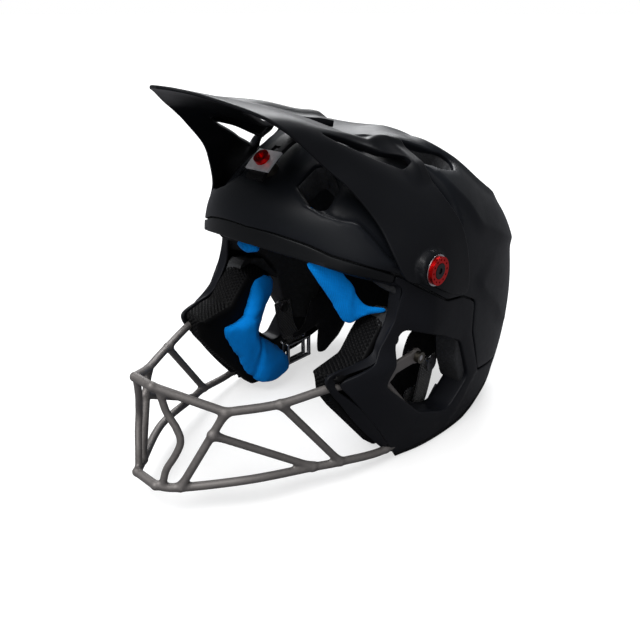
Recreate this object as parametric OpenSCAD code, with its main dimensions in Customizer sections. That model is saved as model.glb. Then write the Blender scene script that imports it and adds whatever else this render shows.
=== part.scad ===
// Full face cycling helmet with a welded tube face cage, tilting visor,
// foam liners, removable pads and a double D-ring chin strap.
// Front is -Y, the wearer's left is +X, the rim stands on Z = 0.

/* [Shell] */
// Half width of the shell at its widest
half_w = 106; // [100:1:112]
// Thickness of the moulded shell
shell_t = 2.2; // [1.8:0.1:2.6]
// Height of the shell centre above the rim
centre_z = 110; // [108:1:112]
// Thickness of the crown foam
foam_t = 20; // [18:1:21]

/* [Face cage] */
// Radius of the cage tube
tube_r = 3.1; // [2.8:0.1:3.3]
// Radius of the weld beads
weld_r = 3.5; // [3.4:0.1:3.6]

/* [Visor] */
// Thickness of the visor
visor_t = 2; // [2:0.1:2.8]
// Distance of the visor pivot behind the origin
pivot_y = -5; // [-6:0.5:-4]
// Height of the visor pivot above the rim
pivot_z = 150; // [149:0.5:151]

/* [Screws] */
// Outer radius of a visor screw head
knob_r = 9.6; // [9:0.2:10]
// Radius of the visor screw shank
shank_r = 2.5; // [2.3:0.1:2.6]

/* [Hidden] */

centre_y = 20;
// Side outline: distance from the centre every 22.5 degrees, from the rear up and over
RP = [147, 138, 121, 117.5, 119.5, 118, 117, 107.5, 121.5, 142.5, 155, 165, 184, 191.5, 179, 161];
function cr(a, b, c, d, t) = 0.5 * ((2 * b) + (c - a) * t + (2 * a - 5 * b + 4 * c - d) * t * t + (-a + 3 * b - 3 * c + d) * t * t * t);
function md(i) = ((i % 16) + 16) % 16;
function outline_r(a) = let(u = a / 22.5, i = floor(u), t = u - i) cr(RP[md(i - 1)], RP[md(i)], RP[md(i + 1)], RP[md(i + 2)], t);
// Exponent of the plan curve: rounder in front, squarer behind
function expo(a) = 2.05 + 1.25 * (0.5 + 0.5 * cos(a));
function ppow(v, e) = v <= 0.000001 ? 0 : pow(v, e);

// The side draws in towards the rear edge of the eye port
function ease(t) = let(u = min(max(t, 0), 1)) u * u * (3 - 2 * u);
function waist(y, z) = 1 - 0.075 * ease((y + 62) / 16) * (1 - ease((y + 26) / 30)) * ease((z - 84) / 16) * (1 - ease((z - 142) / 16));

NA = 40;
NS = 14;
function blob_pt(d, a, s) = let(n = expo(a), r = (outline_r(a) - d) * ppow(sin(s), 2 / n),
    x = (half_w - d) * sign(cos(s)) * ppow(abs(cos(s)), 2 / n), y = centre_y + r * cos(a), z = centre_z + r * sin(a))
    [abs(cos(s)) < 0.0001 ? 0 : x * waist(y, z), y, z];
// Closed egg-like solid whose surface lies d inside the shell's outer face
module blob(d) {
    pts = concat([[half_w - d, centre_y, centre_z]],
        [for (i = [1:NS - 1], k = [0:NA - 1]) blob_pt(d, 360 * k / NA, 180 * i / NS)],
        [[-(half_w - d), centre_y, centre_z]]);
    last = len(pts) - 1;
    polyhedron(points = pts, faces = concat(
        [for (k = [0:NA - 1]) [0, 1 + (k + 1) % NA, 1 + k]],
        [for (i = [0:NS - 3], k = [0:NA - 1]) [1 + i * NA + k, 1 + (i + 1) * NA + (k + 1) % NA, 1 + (i + 1) * NA + k]],
        [for (i = [0:NS - 3], k = [0:NA - 1]) [1 + i * NA + k, 1 + i * NA + (k + 1) % NA, 1 + (i + 1) * NA + (k + 1) % NA]],
        [for (k = [0:NA - 1]) [last, 1 + (NS - 2) * NA + k, 1 + (NS - 2) * NA + (k + 1) % NA]]));
}
// Outline in Y and Z pushed through along X
module slab(x0 = -150, x1 = 150) { translate([x0, 0, 0]) rotate([90, 0, 90]) linear_extrude(x1 - x0) children(); }
// Outline in X and Y pushed up along Z
module drop(z0, z1) { translate([0, 0, z0]) linear_extrude(z1 - z0) children(); }

// Opening in front: brow edge, side of the eye port, jaw corner and front of the jaw
FACE = [[-300, 162], [-75, 162], [-66, 157.5], [-58, 154], [-50, 150], [-39, 146], [-27, 141.5], [-20.5, 138.5],
    [-19, 135], [-21.5, 128], [-26, 115], [-36, 101], [-45, 91], [-52, 88.5], [-71, 82], [-16, 4], [-13, 0], [-13, -150], [-300, -150]];
// Rim: flat under the jaw, rising to the nape
RIM = [[-40, 0], [62, 0], [86, 6], [110, 14], [135, 22], [230, 34], [230, -200], [-40, -200]];
module face_cut(g = 0) { slab() offset(delta = g) polygon(FACE); }
module rim_cut(g = 0) { slab() offset(delta = g) polygon(RIM); }
EAR = [[-20, 108], [12, 96], [38, 82], [56, 46], [35, 26], [27, 26], [-1, 37], [-38, 72], [-30, 87]];
module ear_cut(g = 0, x0 = 60) { slab(x0, 150) offset(delta = g) polygon(EAR); slab(-150, -x0) offset(delta = g) polygon(EAR); }

// Seam between the crown and the parts under it
SEAM = [[-300, 173], [-71, 173], [-64, 168.6], [-57.5, 163], [-50.5, 159.6], [-41, 155], [-28, 149.5], [-19, 145.5], [-11, 139], [0, 131.5], [14, 123],
    [34, 120], [52, 111], [53, 86], [71, 45], [110, 38], [140, 42], [300, 60], [300, 400], [-300, 400]];
// Brow band: between that seam and the eye port, ending at the corner of the port
BROW = [[-300, 172.2], [-71.3, 172.2], [-64.3, 167.8], [-57.8, 162.2], [-50.8, 158.8], [-41.3, 154.2], [-28.3, 148.7], [-24.6, 147.1], [-24.6, 118], [-80, 118], [-300, 150]];

// Roof vents as seen from above, on one side
VENT_TOP = [[49, 22], [58, 17], [70, 25], [75, 38], [76, 56], [68, 68], [60, 58], [54, 40]];
VENT_REAR = [[18, 100], [30, 96], [40, 110], [36, 134], [22, 140]];
VENT_BROW = [[26, -52], [40, -56], [52, -50], [50, -34], [36, -28], [28, -34]];
// Moulded and foamed parts are kept as one smooth-shaded mesh at their own size
module moulded() { resize([0, 0, 0]) children(); }
module both() { children(); mirror([1, 0, 0]) children(); }
module vents(g = 0) {
    both() drop(150, 260) offset(delta = g) polygon(VENT_TOP);
    both() drop(140, 260) offset(delta = g) polygon(VENT_REAR);
    both() drop(178, 260) offset(delta = g) polygon(VENT_BROW);
}

module pivot_bore(r) { for (s = [-1, 1]) translate([s * 105, pivot_y, pivot_z]) rotate([0, 90, 0]) cylinder(h = 60, r = r, center = true, $fn = 48); }
// Centre screw axis: 128 degrees up from the rear, through the pivot axis
tongue_a = 128;
tongue_r = 76;
module at_center() { translate([0, pivot_y, pivot_z]) rotate([tongue_a - 90, 0, 0]) children(); }

// Sunk field under the visor arms, on both sides of the middle
SUNK = [[-22, 166], [36, 166], [33, 182], [29, 196], [25, 208], [20, 220], [16, 250], [-22, 250]];
module sunk(g = 0, x0 = 34) {
    slab(x0 - g, 150) offset(delta = g) polygon(SUNK);
    slab(-150, g - x0) offset(delta = g) polygon(SUNK);
}
// Solid up to d under the outer face, stepping a further 7 mm down in the sunk field
module core(d, g = 0) { difference() { blob(d); sunk(g); } blob(d + 7); }

module crown_shell() {
    color([0.13, 0.13, 0.14]) moulded() difference() {
        intersection() { core(0); slab() polygon(SEAM); }
        core(shell_t, shell_t);
        face_cut(2.4);
        vents();
        pivot_bore(6.3);
        at_center() cylinder(h = 200, r = 6.3, $fn = 48);
    }
}
module brow_band() {
    color([0.22, 0.22, 0.24]) moulded() difference() {
        intersection() { blob(0); slab() polygon(BROW); }
        blob(shell_t);
        face_cut(2.4);
    }
}
module lower_shell() {
    color([0.12, 0.12, 0.13]) moulded() difference() {
        intersection() { blob(0); slab() difference() { polygon([[-90, -10], [-90, 117], [-24.2, 118], [-24.2, 146.9], [-19.3, 144.7], [-11.4, 138.1], [-0.3, 130.7], [13.8, 122.2], [33.8, 119.4], [51.4, 110.6], [52.4, 86], [70.5, 44.4], [110, 37.4], [140, 41.4], [300, 59.4], [300, -10]]); polygon(RIM); } }
        blob(shell_t);
        face_cut(2.4);
        rim_cut(3.2);
        ear_cut();
    }
}
module port_trim() {
    color([0.06, 0.06, 0.06]) moulded() difference() {
        intersection() { blob(0.4); face_cut(2.1); translate([-200, -120, 6]) cube([400, 130, 170]); }
        blob(7.5);
        face_cut(0);
    }
}
module neck_trim() {
    color([0.05, 0.05, 0.05]) moulded() difference() {
        intersection() { blob(-0.6); rim_cut(3); translate([-200, -13.5, -1]) cube([400, 220, 80]); }
        blob(5.5);
        rim_cut(0);
    }
}

module foam_zone() { slab() polygon([[-80, 176], [-66, 166], [-50, 154], [-36, 142], [-22, 132], [-14, 121], [18, 112], [34, 92], [40, 60], [52, 38], [90, 26], [130, 32], [200, 50], [200, 300], [-80, 300]]); }
module eps_liner() {
    color([0.10, 0.10, 0.11]) moulded() difference() {
        intersection() { core(shell_t + 0.6, shell_t + 0.6); foam_zone(); }
        blob(shell_t + 0.6 + foam_t);
        face_cut(5);
        ear_cut(1, 60);
        vents(-0.5);
        both() drop(120, 260) polygon([[22, -20], [40, -24], [44, 60], [30, 120], [22, 120]]);
        pivot_bore(8.6);
        at_center() cylinder(h = 200, r = 8.6, $fn = 48);
    }
}
FOAM_CHEEK = [[-66, 66], [-43, 84], [-30, 112], [-17, 118], [14, 109], [30, 90], [36, 60], [46, 34], [40, 6], [-8, 6], [-14, 12]];
module cheek_foam_left() {
    color([0.09, 0.09, 0.10]) moulded() difference() {
        intersection() { blob(shell_t + 9); slab(40, 150) polygon(FOAM_CHEEK); }
        blob(26);
        face_cut(3.2);
        ear_cut(1, 40);
        rim_cut(4);
        slab(0, 74.3) offset(delta = 1) polygon(BODY);
        tube(K_top, K_low, 4.6); tube(J_low, K_low, 4.6); tube(J_top, K_top, 4.6);
        for (b = BOLTS) translate([91.5, b[0], b[1]]) rotate([0, 90, 0]) cylinder(h = 12, r = 7.2, center = true, $fn = 48);
        translate([76, -39, 70]) cube([20, 20, 20]);
        translate([50, 20, 0]) cube([31.5, 32, 66]);
    }
}
module cheek_foam_right() { mirror([1, 0, 0]) cheek_foam_left(); }

module head_liner() {
    color([0.0, 0.45, 0.78]) moulded() difference() {
        intersection() {
            blob(foam_t + 3.6);
            union() {
                translate([-24, -18, 60]) cube([48, 128, 200]);
                translate([-120, 24, 168]) cube([240, 40, 100]);
            }
        }
        blob(foam_t + 9.2);
        translate([-200, -200, 0]) cube([400, 400, 168]);
    }
}
module brow_pad() {
    color([0.0, 0.45, 0.78]) moulded() difference() {
        intersection() { blob(foam_t + 3.6); translate([-50, -90, 146]) cube([100, 60, 41]); }
        blob(foam_t + 11);
        face_cut(3);
    }
}
module nape_pad() {
    color([0.07, 0.07, 0.08]) moulded() difference() {
        intersection() { blob(foam_t + 3.6); translate([-74, 58, 34]) cube([148, 132, 72]); }
        blob(foam_t + 11);
    }
}
// Cheek pad outline in Y and Z and its cover
PAD = [[-56, 72], [-34, 78], [-26, 92], [-20, 108], [-4, 109], [4, 104], [5, 92], [-3, 78], [-14, 58], [8, 38], [16, 25], [17, 7], [-3, 4], [-21, 9], [-31, 20]];
// Side outline of the pad body, standing further forward than its cover
BODY = [[-74, 86.5], [-45, 91], [-34, 103], [-24, 112], [-4, 109], [4, 104], [5, 92], [-3, 78], [-14, 58], [8, 38], [16, 25], [17, 7], [-3, 4], [-20, 6], [-62, 56], [-72, 70]];
module pad_slab(x0, x1, g) { slab(x0, x1) offset(delta = g) polygon(PAD); }
module cheek_pad_left() {
    color([0.05, 0.05, 0.05]) difference() {
        slab(61, 74) polygon(BODY);
        translate([67, -95, 50]) cube([8, 30, 60]);
        tube(S4_top, J_top, 4.2);
        tube(J_top, K_top, 4.2);
        bead(J_top, 5);
    }
}
module cheek_pad_right() { mirror([1, 0, 0]) cheek_pad_left(); }
module cheek_cover_left() { color([0.0, 0.45, 0.78]) pad_slab(54, 60.4, -1.5); }
module cheek_cover_right() { mirror([1, 0, 0]) cheek_cover_left(); }

// Face cage: tube nodes on the left side
C_top = [9, -163, 92.5];
C_low = [10.5, -169.5, 22];
S2_top = [42, -133, 74];
S2_low = [21.5, -158, 19.5];
S4_top = [60, -103, 74];
S4_low = [75.5, -61.5, 14.5];
J_top = [75.5, -67.5, 77.5];
J_low = [86, -22.5, 10];
K_top = [88.5, -34, 74];
K_low = [91, 10, 20];
// Bent strut beside the middle, from the top rail down
S1 = [[12, -160.3, 91], [15, -158.5, 75], [20.5, -156, 64], [23, -155.5, 54.5], [20.5, -159, 44.5], [15.5, -163.5, 33.5], [13.5, -166.3, 21.5]];
S3_top = [36.5, -141, 58.5];
S3_low = [67.5, -80, 16.2];
L_mid = [49, -122.5, 20];
module tube(a, b, r = tube_r) {
    v = b - a;
    l = norm(v);
    translate(a) rotate([0, acos(v[2] / l), atan2(v[1], v[0])]) cylinder(h = l, r = r, $fn = 12);
}
module bead(p, r = weld_r) { translate(p) sphere(r = r, $fn = 12); }
module cage_side() {
    tube(C_top, S2_top); tube(S2_top, S4_top); tube(S4_top, J_top); tube(J_top, K_top);
    tube(C_low, S2_low); tube(S2_low, L_mid); tube(L_mid, S3_low); tube(S3_low, S4_low); tube(S4_low, J_low); tube(J_low, K_low);
    tube(K_top, K_low);
    for (i = [0:5]) tube(S1[i], S1[i + 1], 2.6);
    tube(S2_top, S2_low); tube(S3_top, S3_low); tube(S4_top, S4_low);
    for (p = [C_top, C_low, S2_top, S2_low, S4_top, S4_low, J_top, J_low, K_top, K_low, S3_top, S3_low, L_mid]) bead(p);
    for (i = [1:5]) bead(S1[i], 3);
}
module lug(y, z) { translate([91.5, y, z]) rotate([0, 90, 0]) difference() { cylinder(h = 3, r = 6, center = true, $fn = 48); cylinder(h = 8, r = 2.1, center = true, $fn = 32); } }
module face_cage() {
    color([0.43, 0.41, 0.40]) {
        difference() {
            union() {
                cage_side();
                mirror([1, 0, 0]) cage_side();
                tube(C_top, [-C_top[0], C_top[1], C_top[2]]);
                tube(C_low, [-C_low[0], C_low[1], C_low[2]]);
                for (s = [-1, 1]) {
                    translate([s * 91.5, -31, 80]) rotate([0, 90, 0]) cylinder(h = 3, r = 8, center = true, $fn = 48);
                    translate([s * 91.5 - 1.5, -31, 76]) cube([3, 31, 9]);
                    translate([s * 91.5, 0, 80.5]) rotate([0, 90, 0]) cylinder(h = 3, r = 6, center = true, $fn = 48);
                    translate([s * 91.5, 14, 14]) rotate([0, 90, 0]) cylinder(h = 3, r = 6, center = true, $fn = 48);
                }
            }
            for (s = [-1, 1]) {
                translate([s * 91.5, 0, 80.5]) rotate([0, 90, 0]) cylinder(h = 10, r = 2.1, center = true, $fn = 32);
                translate([s * 91.5, 14, 14]) rotate([0, 90, 0]) cylinder(h = 6, r = 2.1, center = true, $fn = 32);
            }
        }
    }
}
BOLTS = [[0, 80.5], [14, 14]];
module cage_bolts() {
    color([0.55, 0.55, 0.56]) for (s = [-1, 1], b = BOLTS)
        translate([0, b[0], b[1]]) rotate([0, s * 90, 0]) difference() {
            union() { translate([0, 0, 86.6]) cylinder(h = 3.2, r = 4, $fn = 48); translate([0, 0, 89.6]) cylinder(h = 7, r = 2, $fn = 32); }
            translate([0, 0, 86]) cylinder(h = 2.2, r = 1.7, $fn = 6);
        }
}
module cage_nuts() {
    color([0.7, 0.6, 0.3]) for (s = [-1, 1], b = BOLTS)
        translate([0, b[0], b[1]]) rotate([0, s * 90, 0]) difference() {
            translate([0, 0, 93.2]) cylinder(h = 3.6, r = 4.2, $fn = 48);
            translate([0, 0, 92]) cylinder(h = 6, r = 2.05, $fn = 32);
        }
}

// Visor: rows from the front edge backwards, columns from the middle outwards
VE = [[0, -133, 266], [12, -129, 265], [23, -119, 261.5], [41, -100, 252.5], [49, -86, 243.5], [53, -74.5, 233.5], [58, -59, 218.5], [68, -47, 205], [81, -34.4, 182.2], [92.3, -30.8, 162.6], [98.8, -25.5, 145.3]];
VM = [[0, -80, 253.5], [12, -79, 253], [23, -76, 252], [39, -66, 246.5], [48, -56, 240], [55, -50, 232], [63, -37, 219], [74, -26, 203], [90, -17, 181.2], [101, -10, 160.5], [106.2, -4.5, 138.3]];
VR = [[0, -28, 240], [12, -27, 239.5], [24, -25, 238], [38, -20, 232], [48, -12, 226.5], [58, -6, 220.5], [72.5, -3, 210], [86, -1, 196], [98.7, 5.5, 177], [105.6, 11.5, 156.5], [109, 13.7, 128.2]];
VB = [[0, 4, 232.2], [12, 5, 232], [26, 7, 231], [42, 9, 226.5], [54, 12, 220.5], [65, 14, 213.5], [81.5, 16, 203.5], [94, 20, 190], [103, 29, 172], [107.7, 34, 149], [109.4, 36.5, 121.5]];
NR = 9;
NC = 20;
function mix3(a, b, c, d, t) = [for (i = [0:2]) cr(a[i], b[i], c[i], d[i], t)];
function along(L, u) = let(n = len(L) - 1, w = min(max(u * n, 0), n - 0.0001), i = floor(w), t = w - i)
    mix3(i == 0 ? 2 * L[0] - L[1] : L[i - 1], L[i], L[i + 1], i + 2 > n ? 2 * L[n] - L[n - 1] : L[i + 2], t);
function side_pt(u, v) = let(c = [along(VE, u), along(VM, u), along(VR, u), along(VB, u)]) along(c, v);
function visor_pt(j, i) = let(u = abs(j) / NC, p = side_pt(u, i / NR)) j < 0 ? [-p[0], p[1], p[2]] : p;
function unit(v) = v / max(norm(v), 0.0001);
function visor_n(j, i) = let(a = visor_pt(min(j + 1, NC), i) - visor_pt(max(j - 1, -NC), i), b = visor_pt(j, min(i + 1, NR)) - visor_pt(j, max(i - 1, 0))) unit(cross(a, b));
module visor_skin() {
    w = 2 * NC + 1;
    outer = [for (i = [0:NR], j = [-NC:NC]) visor_pt(j, i)];
    inner = [for (i = [0:NR], j = [-NC:NC]) visor_pt(j, i) - visor_t * visor_n(j, i)];
    m = len(outer);
    polyhedron(points = concat(outer, inner), faces = concat(
        [for (i = [0:NR - 1], j = [0:w - 2]) [i * w + j, (i + 1) * w + j, (i + 1) * w + j + 1]],
        [for (i = [0:NR - 1], j = [0:w - 2]) [i * w + j, (i + 1) * w + j + 1, i * w + j + 1]],
        [for (i = [0:NR - 1], j = [0:w - 2]) [m + i * w + j, m + (i + 1) * w + j + 1, m + (i + 1) * w + j]],
        [for (i = [0:NR - 1], j = [0:w - 2]) [m + i * w + j, m + i * w + j + 1, m + (i + 1) * w + j + 1]],
        [for (j = [0:w - 2]) [j, j + 1, m + j + 1]], [for (j = [0:w - 2]) [j, m + j + 1, m + j]],
        [for (j = [0:w - 2]) [NR * w + j, m + NR * w + j + 1, NR * w + j + 1]], [for (j = [0:w - 2]) [NR * w + j, m + NR * w + j, m + NR * w + j + 1]],
        [for (i = [0:NR - 1]) [i * w, m + (i + 1) * w, (i + 1) * w]], [for (i = [0:NR - 1]) [i * w, m + i * w, m + (i + 1) * w]],
        [for (i = [0:NR - 1]) [i * w + w - 1, (i + 1) * w + w - 1, m + (i + 1) * w + w - 1]], [for (i = [0:NR - 1]) [i * w + w - 1, m + (i + 1) * w + w - 1, m + i * w + w - 1]]));
}
// Openings in the visor as seen from above, on one side
SLOT_A = [[9, -56], [16, -62], [30, -44], [44, -14], [49, 2], [40, 4], [34, 30], [8, 30], [7, -20]];
SLOT_B = [[50, -50], [55, -44], [63, -22], [70, -4], [66, 8], [58, -8], [52, -26]];
module visor() {
    color([0.14, 0.14, 0.15]) moulded() difference() {
        visor_skin();
        both() drop(200, 300) polygon(SLOT_A);
        both() drop(205, 300) polygon(SLOT_B);
        pivot_bore(6.3);
        for (s = [-1, 1]) translate([s * 116.7, pivot_y, pivot_z]) rotate([0, 90, 0]) cylinder(h = 20, r = 11.6, center = true, $fn = 64);
    }
}
// Curved tongue that runs round the pivot axis from the visor's middle to the centre screw
module arc_plate(r0, r1, a0, a1, w) {
    translate([0, pivot_y, pivot_z]) rotate([0, 90, 0]) rotate([0, 0, 90]) rotate_extrude_arc(r0, r1, a0, a1, w);
}
module rotate_extrude_arc(r0, r1, a0, a1, w) {
    rotate([0, 0, a0]) rotate_extrude(angle = a1 - a0, $fn = 96) translate([r0, -w / 2]) square([r1 - r0, w]);
}
module visor_tongue() {
    color([0.05, 0.05, 0.05]) difference() {
        union() {
            arc_plate(tongue_r + 1.4, tongue_r + 3.8, 100, 138, 15);
            arc_plate(tongue_r + 2, tongue_r + 14, 100, 105, 8);
        }
        arc_plate(tongue_r, tongue_r + 6, tongue_a - 11, tongue_a + 6, 5.6);
    }
}
module center_bracket() {
    color([0.75, 0.75, 0.77]) difference() {
        arc_plate(tongue_r + 4.1, tongue_r + 5.5, tongue_a - 6, tongue_a + 6, 21);
        at_center() cylinder(h = 100, r = 3, $fn = 48);
    }
}
module center_screw() {
    color([0.75, 0.06, 0.05]) at_center() difference() {
        union() {
            translate([0, 0, tongue_r - 8]) cylinder(h = 14.5, r = shank_r, $fn = 48);
            translate([0, 0, tongue_r + 5.8]) cylinder(h = 3.2, r = 5.4, $fn = 64);
        }
        translate([0, 0, tongue_r + 7]) cylinder(h = 5, r = 2.7, $fn = 48);
    }
}
module center_insert() {
    color([0.72, 0.6, 0.28]) at_center() difference() {
        union() { translate([0, 0, tongue_r - 9]) cylinder(h = 8.6, r = 6, $fn = 48); translate([0, 0, tongue_r - 9]) cylinder(h = 1.5, r = 8.2, $fn = 48); }
        translate([0, 0, tongue_r - 12]) cylinder(h = 20, r = shank_r + 0.05, $fn = 48);
    }
}
// Side pivot hardware, built along +Z and laid along X
module side(s) { translate([0, pivot_y, pivot_z]) rotate([0, s * 90, 0]) children(); }
module knob() {
    difference() {
        union() {
            translate([0, 0, 96]) cylinder(h = 13.6, r = shank_r, $fn = 48);
            translate([0, 0, 107.6]) cylinder(h = 2.4, r = knob_r, $fn = 96);
        }
        translate([0, 0, 108.8]) cylinder(h = 5, r = 5.5, $fn = 64);
        for (k = [0:11]) rotate([0, 0, k * 30]) translate([7.6, 0, 108.9]) cylinder(h = 4, r = 0.7, $fn = 16);
    }
}
module cap() { difference() { translate([0, 0, 109.0]) cylinder(h = 1.2, r = 5.2, $fn = 64); translate([0, 0, 109.4]) cylinder(h = 3, r = 2.2, $fn = 6); } }
module washer() { difference() { translate([0, 0, 106.9]) cylinder(h = 0.6, r = knob_r + 1, $fn = 96); translate([0, 0, 100]) cylinder(h = 20, r = shank_r + 0.5, $fn = 48); } }
module insert() { difference() { union() { translate([0, 0, 94]) cylinder(h = 12.8, r = 5, $fn = 48); translate([0, 0, 94]) cylinder(h = 1.5, r = 8, $fn = 48); } translate([0, 0, 90]) cylinder(h = 20, r = shank_r + 0.05, $fn = 48); } }
module bush() { difference() { translate([0, 0, 103.4]) cylinder(h = 3.2, r = 6.2, $fn = 64); translate([0, 0, 100]) cylinder(h = 20, r = 5.05, $fn = 64); } }
module pivot_bush_left() { color([0.85, 0.85, 0.82]) side(1) bush(); }
module pivot_bush_right() { color([0.85, 0.85, 0.82]) side(-1) bush(); }
module visor_screw_left() { color([0.75, 0.06, 0.05]) side(1) knob(); }
module visor_screw_right() { color([0.75, 0.06, 0.05]) side(-1) knob(); }
module screw_cap_left() { color([0.04, 0.04, 0.04]) side(1) cap(); }
module screw_cap_right() { color([0.04, 0.04, 0.04]) side(-1) cap(); }
module pivot_washer_left() { color([0.8, 0.8, 0.8]) side(1) washer(); }
module pivot_washer_right() { color([0.8, 0.8, 0.8]) side(-1) washer(); }
module pivot_insert_left() { color([0.72, 0.6, 0.28]) side(1) insert(); }
module pivot_insert_right() { color([0.72, 0.6, 0.28]) side(-1) insert(); }

// Chin strap: webbing laid between pad and foam, profile in X and Z, width along Y
strap_w = 20;
module ribbon(y0, w) { translate([0, y0 + w, 0]) rotate([90, 0, 0]) linear_extrude(w) children(); }
module chin_strap_left() {
    color([0.06, 0.06, 0.07]) ribbon(26, strap_w) polygon([[79, 62], [80.6, 62], [76, 30], [70, 8], [64.5, 4.5], [61, 10], [66, 30], [67.6, 30], [63, 11], [65.2, 6.8], [68.6, 9], [74.4, 30]]);
}
module chin_strap_right() {
    color([0.06, 0.06, 0.07]) ribbon(26, strap_w) difference() {
        union() {
            polygon([[-79, 62], [-80.6, 62], [-76, 40], [-69.4, 30.4], [-68.2, 32], [-74.4, 40]]);
            translate([-67, 29]) circle(r = 3.4, $fn = 32);
        }
        translate([-67, 29]) circle(r = 1.9, $fn = 32);
    }
}
// D-ring: straight bar along Y through the strap loop, bow hanging from it
module d_ring(z, w, h, r) {
    translate([-67, 36, z]) {
        rotate([90, 0, 0]) cylinder(h = w, r = r, center = true, $fn = 32);
        for (s = [-1, 1]) translate([0, s * w / 2, 0]) { sphere(r = r * 1.08, $fn = 32); translate([0, 0, -h]) cylinder(h = h, r = r, $fn = 32); }
        for (s = [-1, 1]) translate([0, s * w / 2, -h]) sphere(r = r * 1.08, $fn = 32);
        translate([0, 0, -h]) rotate([90, 0, 0]) cylinder(h = w, r = r, center = true, $fn = 32);
    }
}
module d_ring_outer() { color([0.7, 0.7, 0.72]) d_ring(29, 27, 20, 1.75); }
module d_ring_inner() { color([0.7, 0.7, 0.72]) translate([7.2, 0, 0]) d_ring(29, 27, 18, 1.75); }
module strap_rivets() {
    color([0.6, 0.6, 0.62]) for (s = [-1, 1]) translate([s * 80.9, 36, 57]) rotate([0, s * 90, 0]) { cylinder(h = 2.2, r = 6, $fn = 48); translate([0, 0, -4.4]) cylinder(h = 1.2, r = 4.5, $fn = 48); }
}
module strap_snap() { color([0.1, 0.1, 0.1]) translate([60.2, 36, 16]) rotate([0, 90, 0]) cylinder(h = 2.2, r = 6, $fn = 48); }
module pad_studs() {
    color([0.15, 0.15, 0.15]) for (s = [-1, 1], p = [[-30, 88], [-20, 30], [-4, 98]]) translate([s * 74.4, p[0], p[1]]) rotate([0, s * 90, 0]) cylinder(h = 2.4, r = 4.5, $fn = 32);
}

crown_shell();
brow_band();
lower_shell();
port_trim();
neck_trim();
eps_liner();
cheek_foam_left();
cheek_foam_right();
head_liner();
brow_pad();
nape_pad();
cheek_pad_left();
cheek_pad_right();
cheek_cover_left();
cheek_cover_right();
face_cage();
cage_bolts();
cage_nuts();
visor();
visor_tongue();
center_bracket();
center_screw();
center_insert();
visor_screw_left();
visor_screw_right();
screw_cap_left();
screw_cap_right();
pivot_washer_left();
pivot_washer_right();
pivot_bush_left();
pivot_bush_right();
pivot_insert_left();
pivot_insert_right();
chin_strap_left();
chin_strap_right();
d_ring_outer();
d_ring_inner();
strap_rivets();
strap_snap();
pad_studs();
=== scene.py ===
import bpy, bmesh, math
import numpy as np
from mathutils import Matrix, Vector
from mathutils.geometry import delaunay_2d_cdt
from mathutils.kdtree import KDTree


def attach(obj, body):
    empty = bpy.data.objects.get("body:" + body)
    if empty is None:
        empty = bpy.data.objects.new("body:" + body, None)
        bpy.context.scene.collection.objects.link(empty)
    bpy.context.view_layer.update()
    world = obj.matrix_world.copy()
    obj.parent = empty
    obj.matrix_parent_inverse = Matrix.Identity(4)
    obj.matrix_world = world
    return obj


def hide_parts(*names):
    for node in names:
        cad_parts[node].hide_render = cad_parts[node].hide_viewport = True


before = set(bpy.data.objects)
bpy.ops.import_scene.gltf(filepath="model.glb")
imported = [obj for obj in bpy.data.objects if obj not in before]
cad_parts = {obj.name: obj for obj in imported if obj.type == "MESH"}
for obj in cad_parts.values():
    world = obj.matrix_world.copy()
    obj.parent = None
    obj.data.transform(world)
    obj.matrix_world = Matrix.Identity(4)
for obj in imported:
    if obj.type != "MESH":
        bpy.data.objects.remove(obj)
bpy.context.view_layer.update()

MM = 0.001
scene = bpy.context.scene

# ---------------------------------------------------------------- camera
def look_at(obj, target, roll=0.0):
    d = Vector(target) - obj.location
    q = d.to_track_quat('-Z', 'Y')
    obj.rotation_euler = q.to_euler()

cam_data = bpy.data.cameras.new("Camera")
cam = bpy.data.objects.new("Camera", cam_data)
scene.collection.objects.link(cam)
cam_data.sensor_width = 36.0
cam_data.lens = 38.36
cam_data.clip_start = 0.01
cam.location = (0.3319, -0.3618, 0.3035)
look_at(cam, (0.0, 0.0, 0.080))
scene.camera = cam

# ---------------------------------------------------------------- outer surface of the shell
RP = np.array([147, 138, 121, 117.5, 119.5, 118, 117, 107.5, 121.5, 142.5, 155, 165, 184, 191.5, 179, 161], float)
W, CY, CZ = 106.0, 20.0, 110.0
LQ = 190.0

def cr(a, b, c, d, t):
    return 0.5 * ((2 * b) + (c - a) * t + (2 * a - 5 * b + 4 * c - d) * t * t + (-a + 3 * b - 3 * c + d) * t ** 3)

def out_r(a):
    u = (np.degrees(a) % 360.0) / 22.5
    i = np.floor(u).astype(int)
    t = u - i
    return cr(RP[(i - 1) % 16], RP[i % 16], RP[(i + 1) % 16], RP[(i + 2) % 16], t)

def expo(a):
    return 2.05 + 1.25 * (0.5 + 0.5 * np.cos(a))

def ease(t):
    t = np.clip(t, 0, 1)
    return t * t * (3 - 2 * t)

def waist(y, z):
    """The side draws in towards the rear edge of the eye port."""
    return 1 - 0.075 * ease((y + 62) / 16) * (1 - ease((y + 26) / 30)) * ease((z - 84) / 16) * (1 - ease((z - 142) / 16))

def surf(s, a, d=0.0):
    n = expo(a)
    r = (out_r(a) - d) * np.sin(s) ** (2 / n)
    x = (W - d) * np.clip(np.cos(s), 0, 1) ** (2 / n)
    y = CY + r * np.cos(a); z = CZ + r * np.sin(a)
    return np.stack([x * waist(y, z), y, z], -1)

def fimp(p):
    a = np.arctan2(p[:, 2] - CZ, p[:, 1] - CY)
    r = np.hypot(p[:, 1] - CY, p[:, 2] - CZ)
    n = expo(a)
    x = np.abs(p[:, 0]) / waist(p[:, 1], p[:, 2])
    return ((x / W) ** n + (r / out_r(a)) ** n) ** (1 / n) - 1

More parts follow.
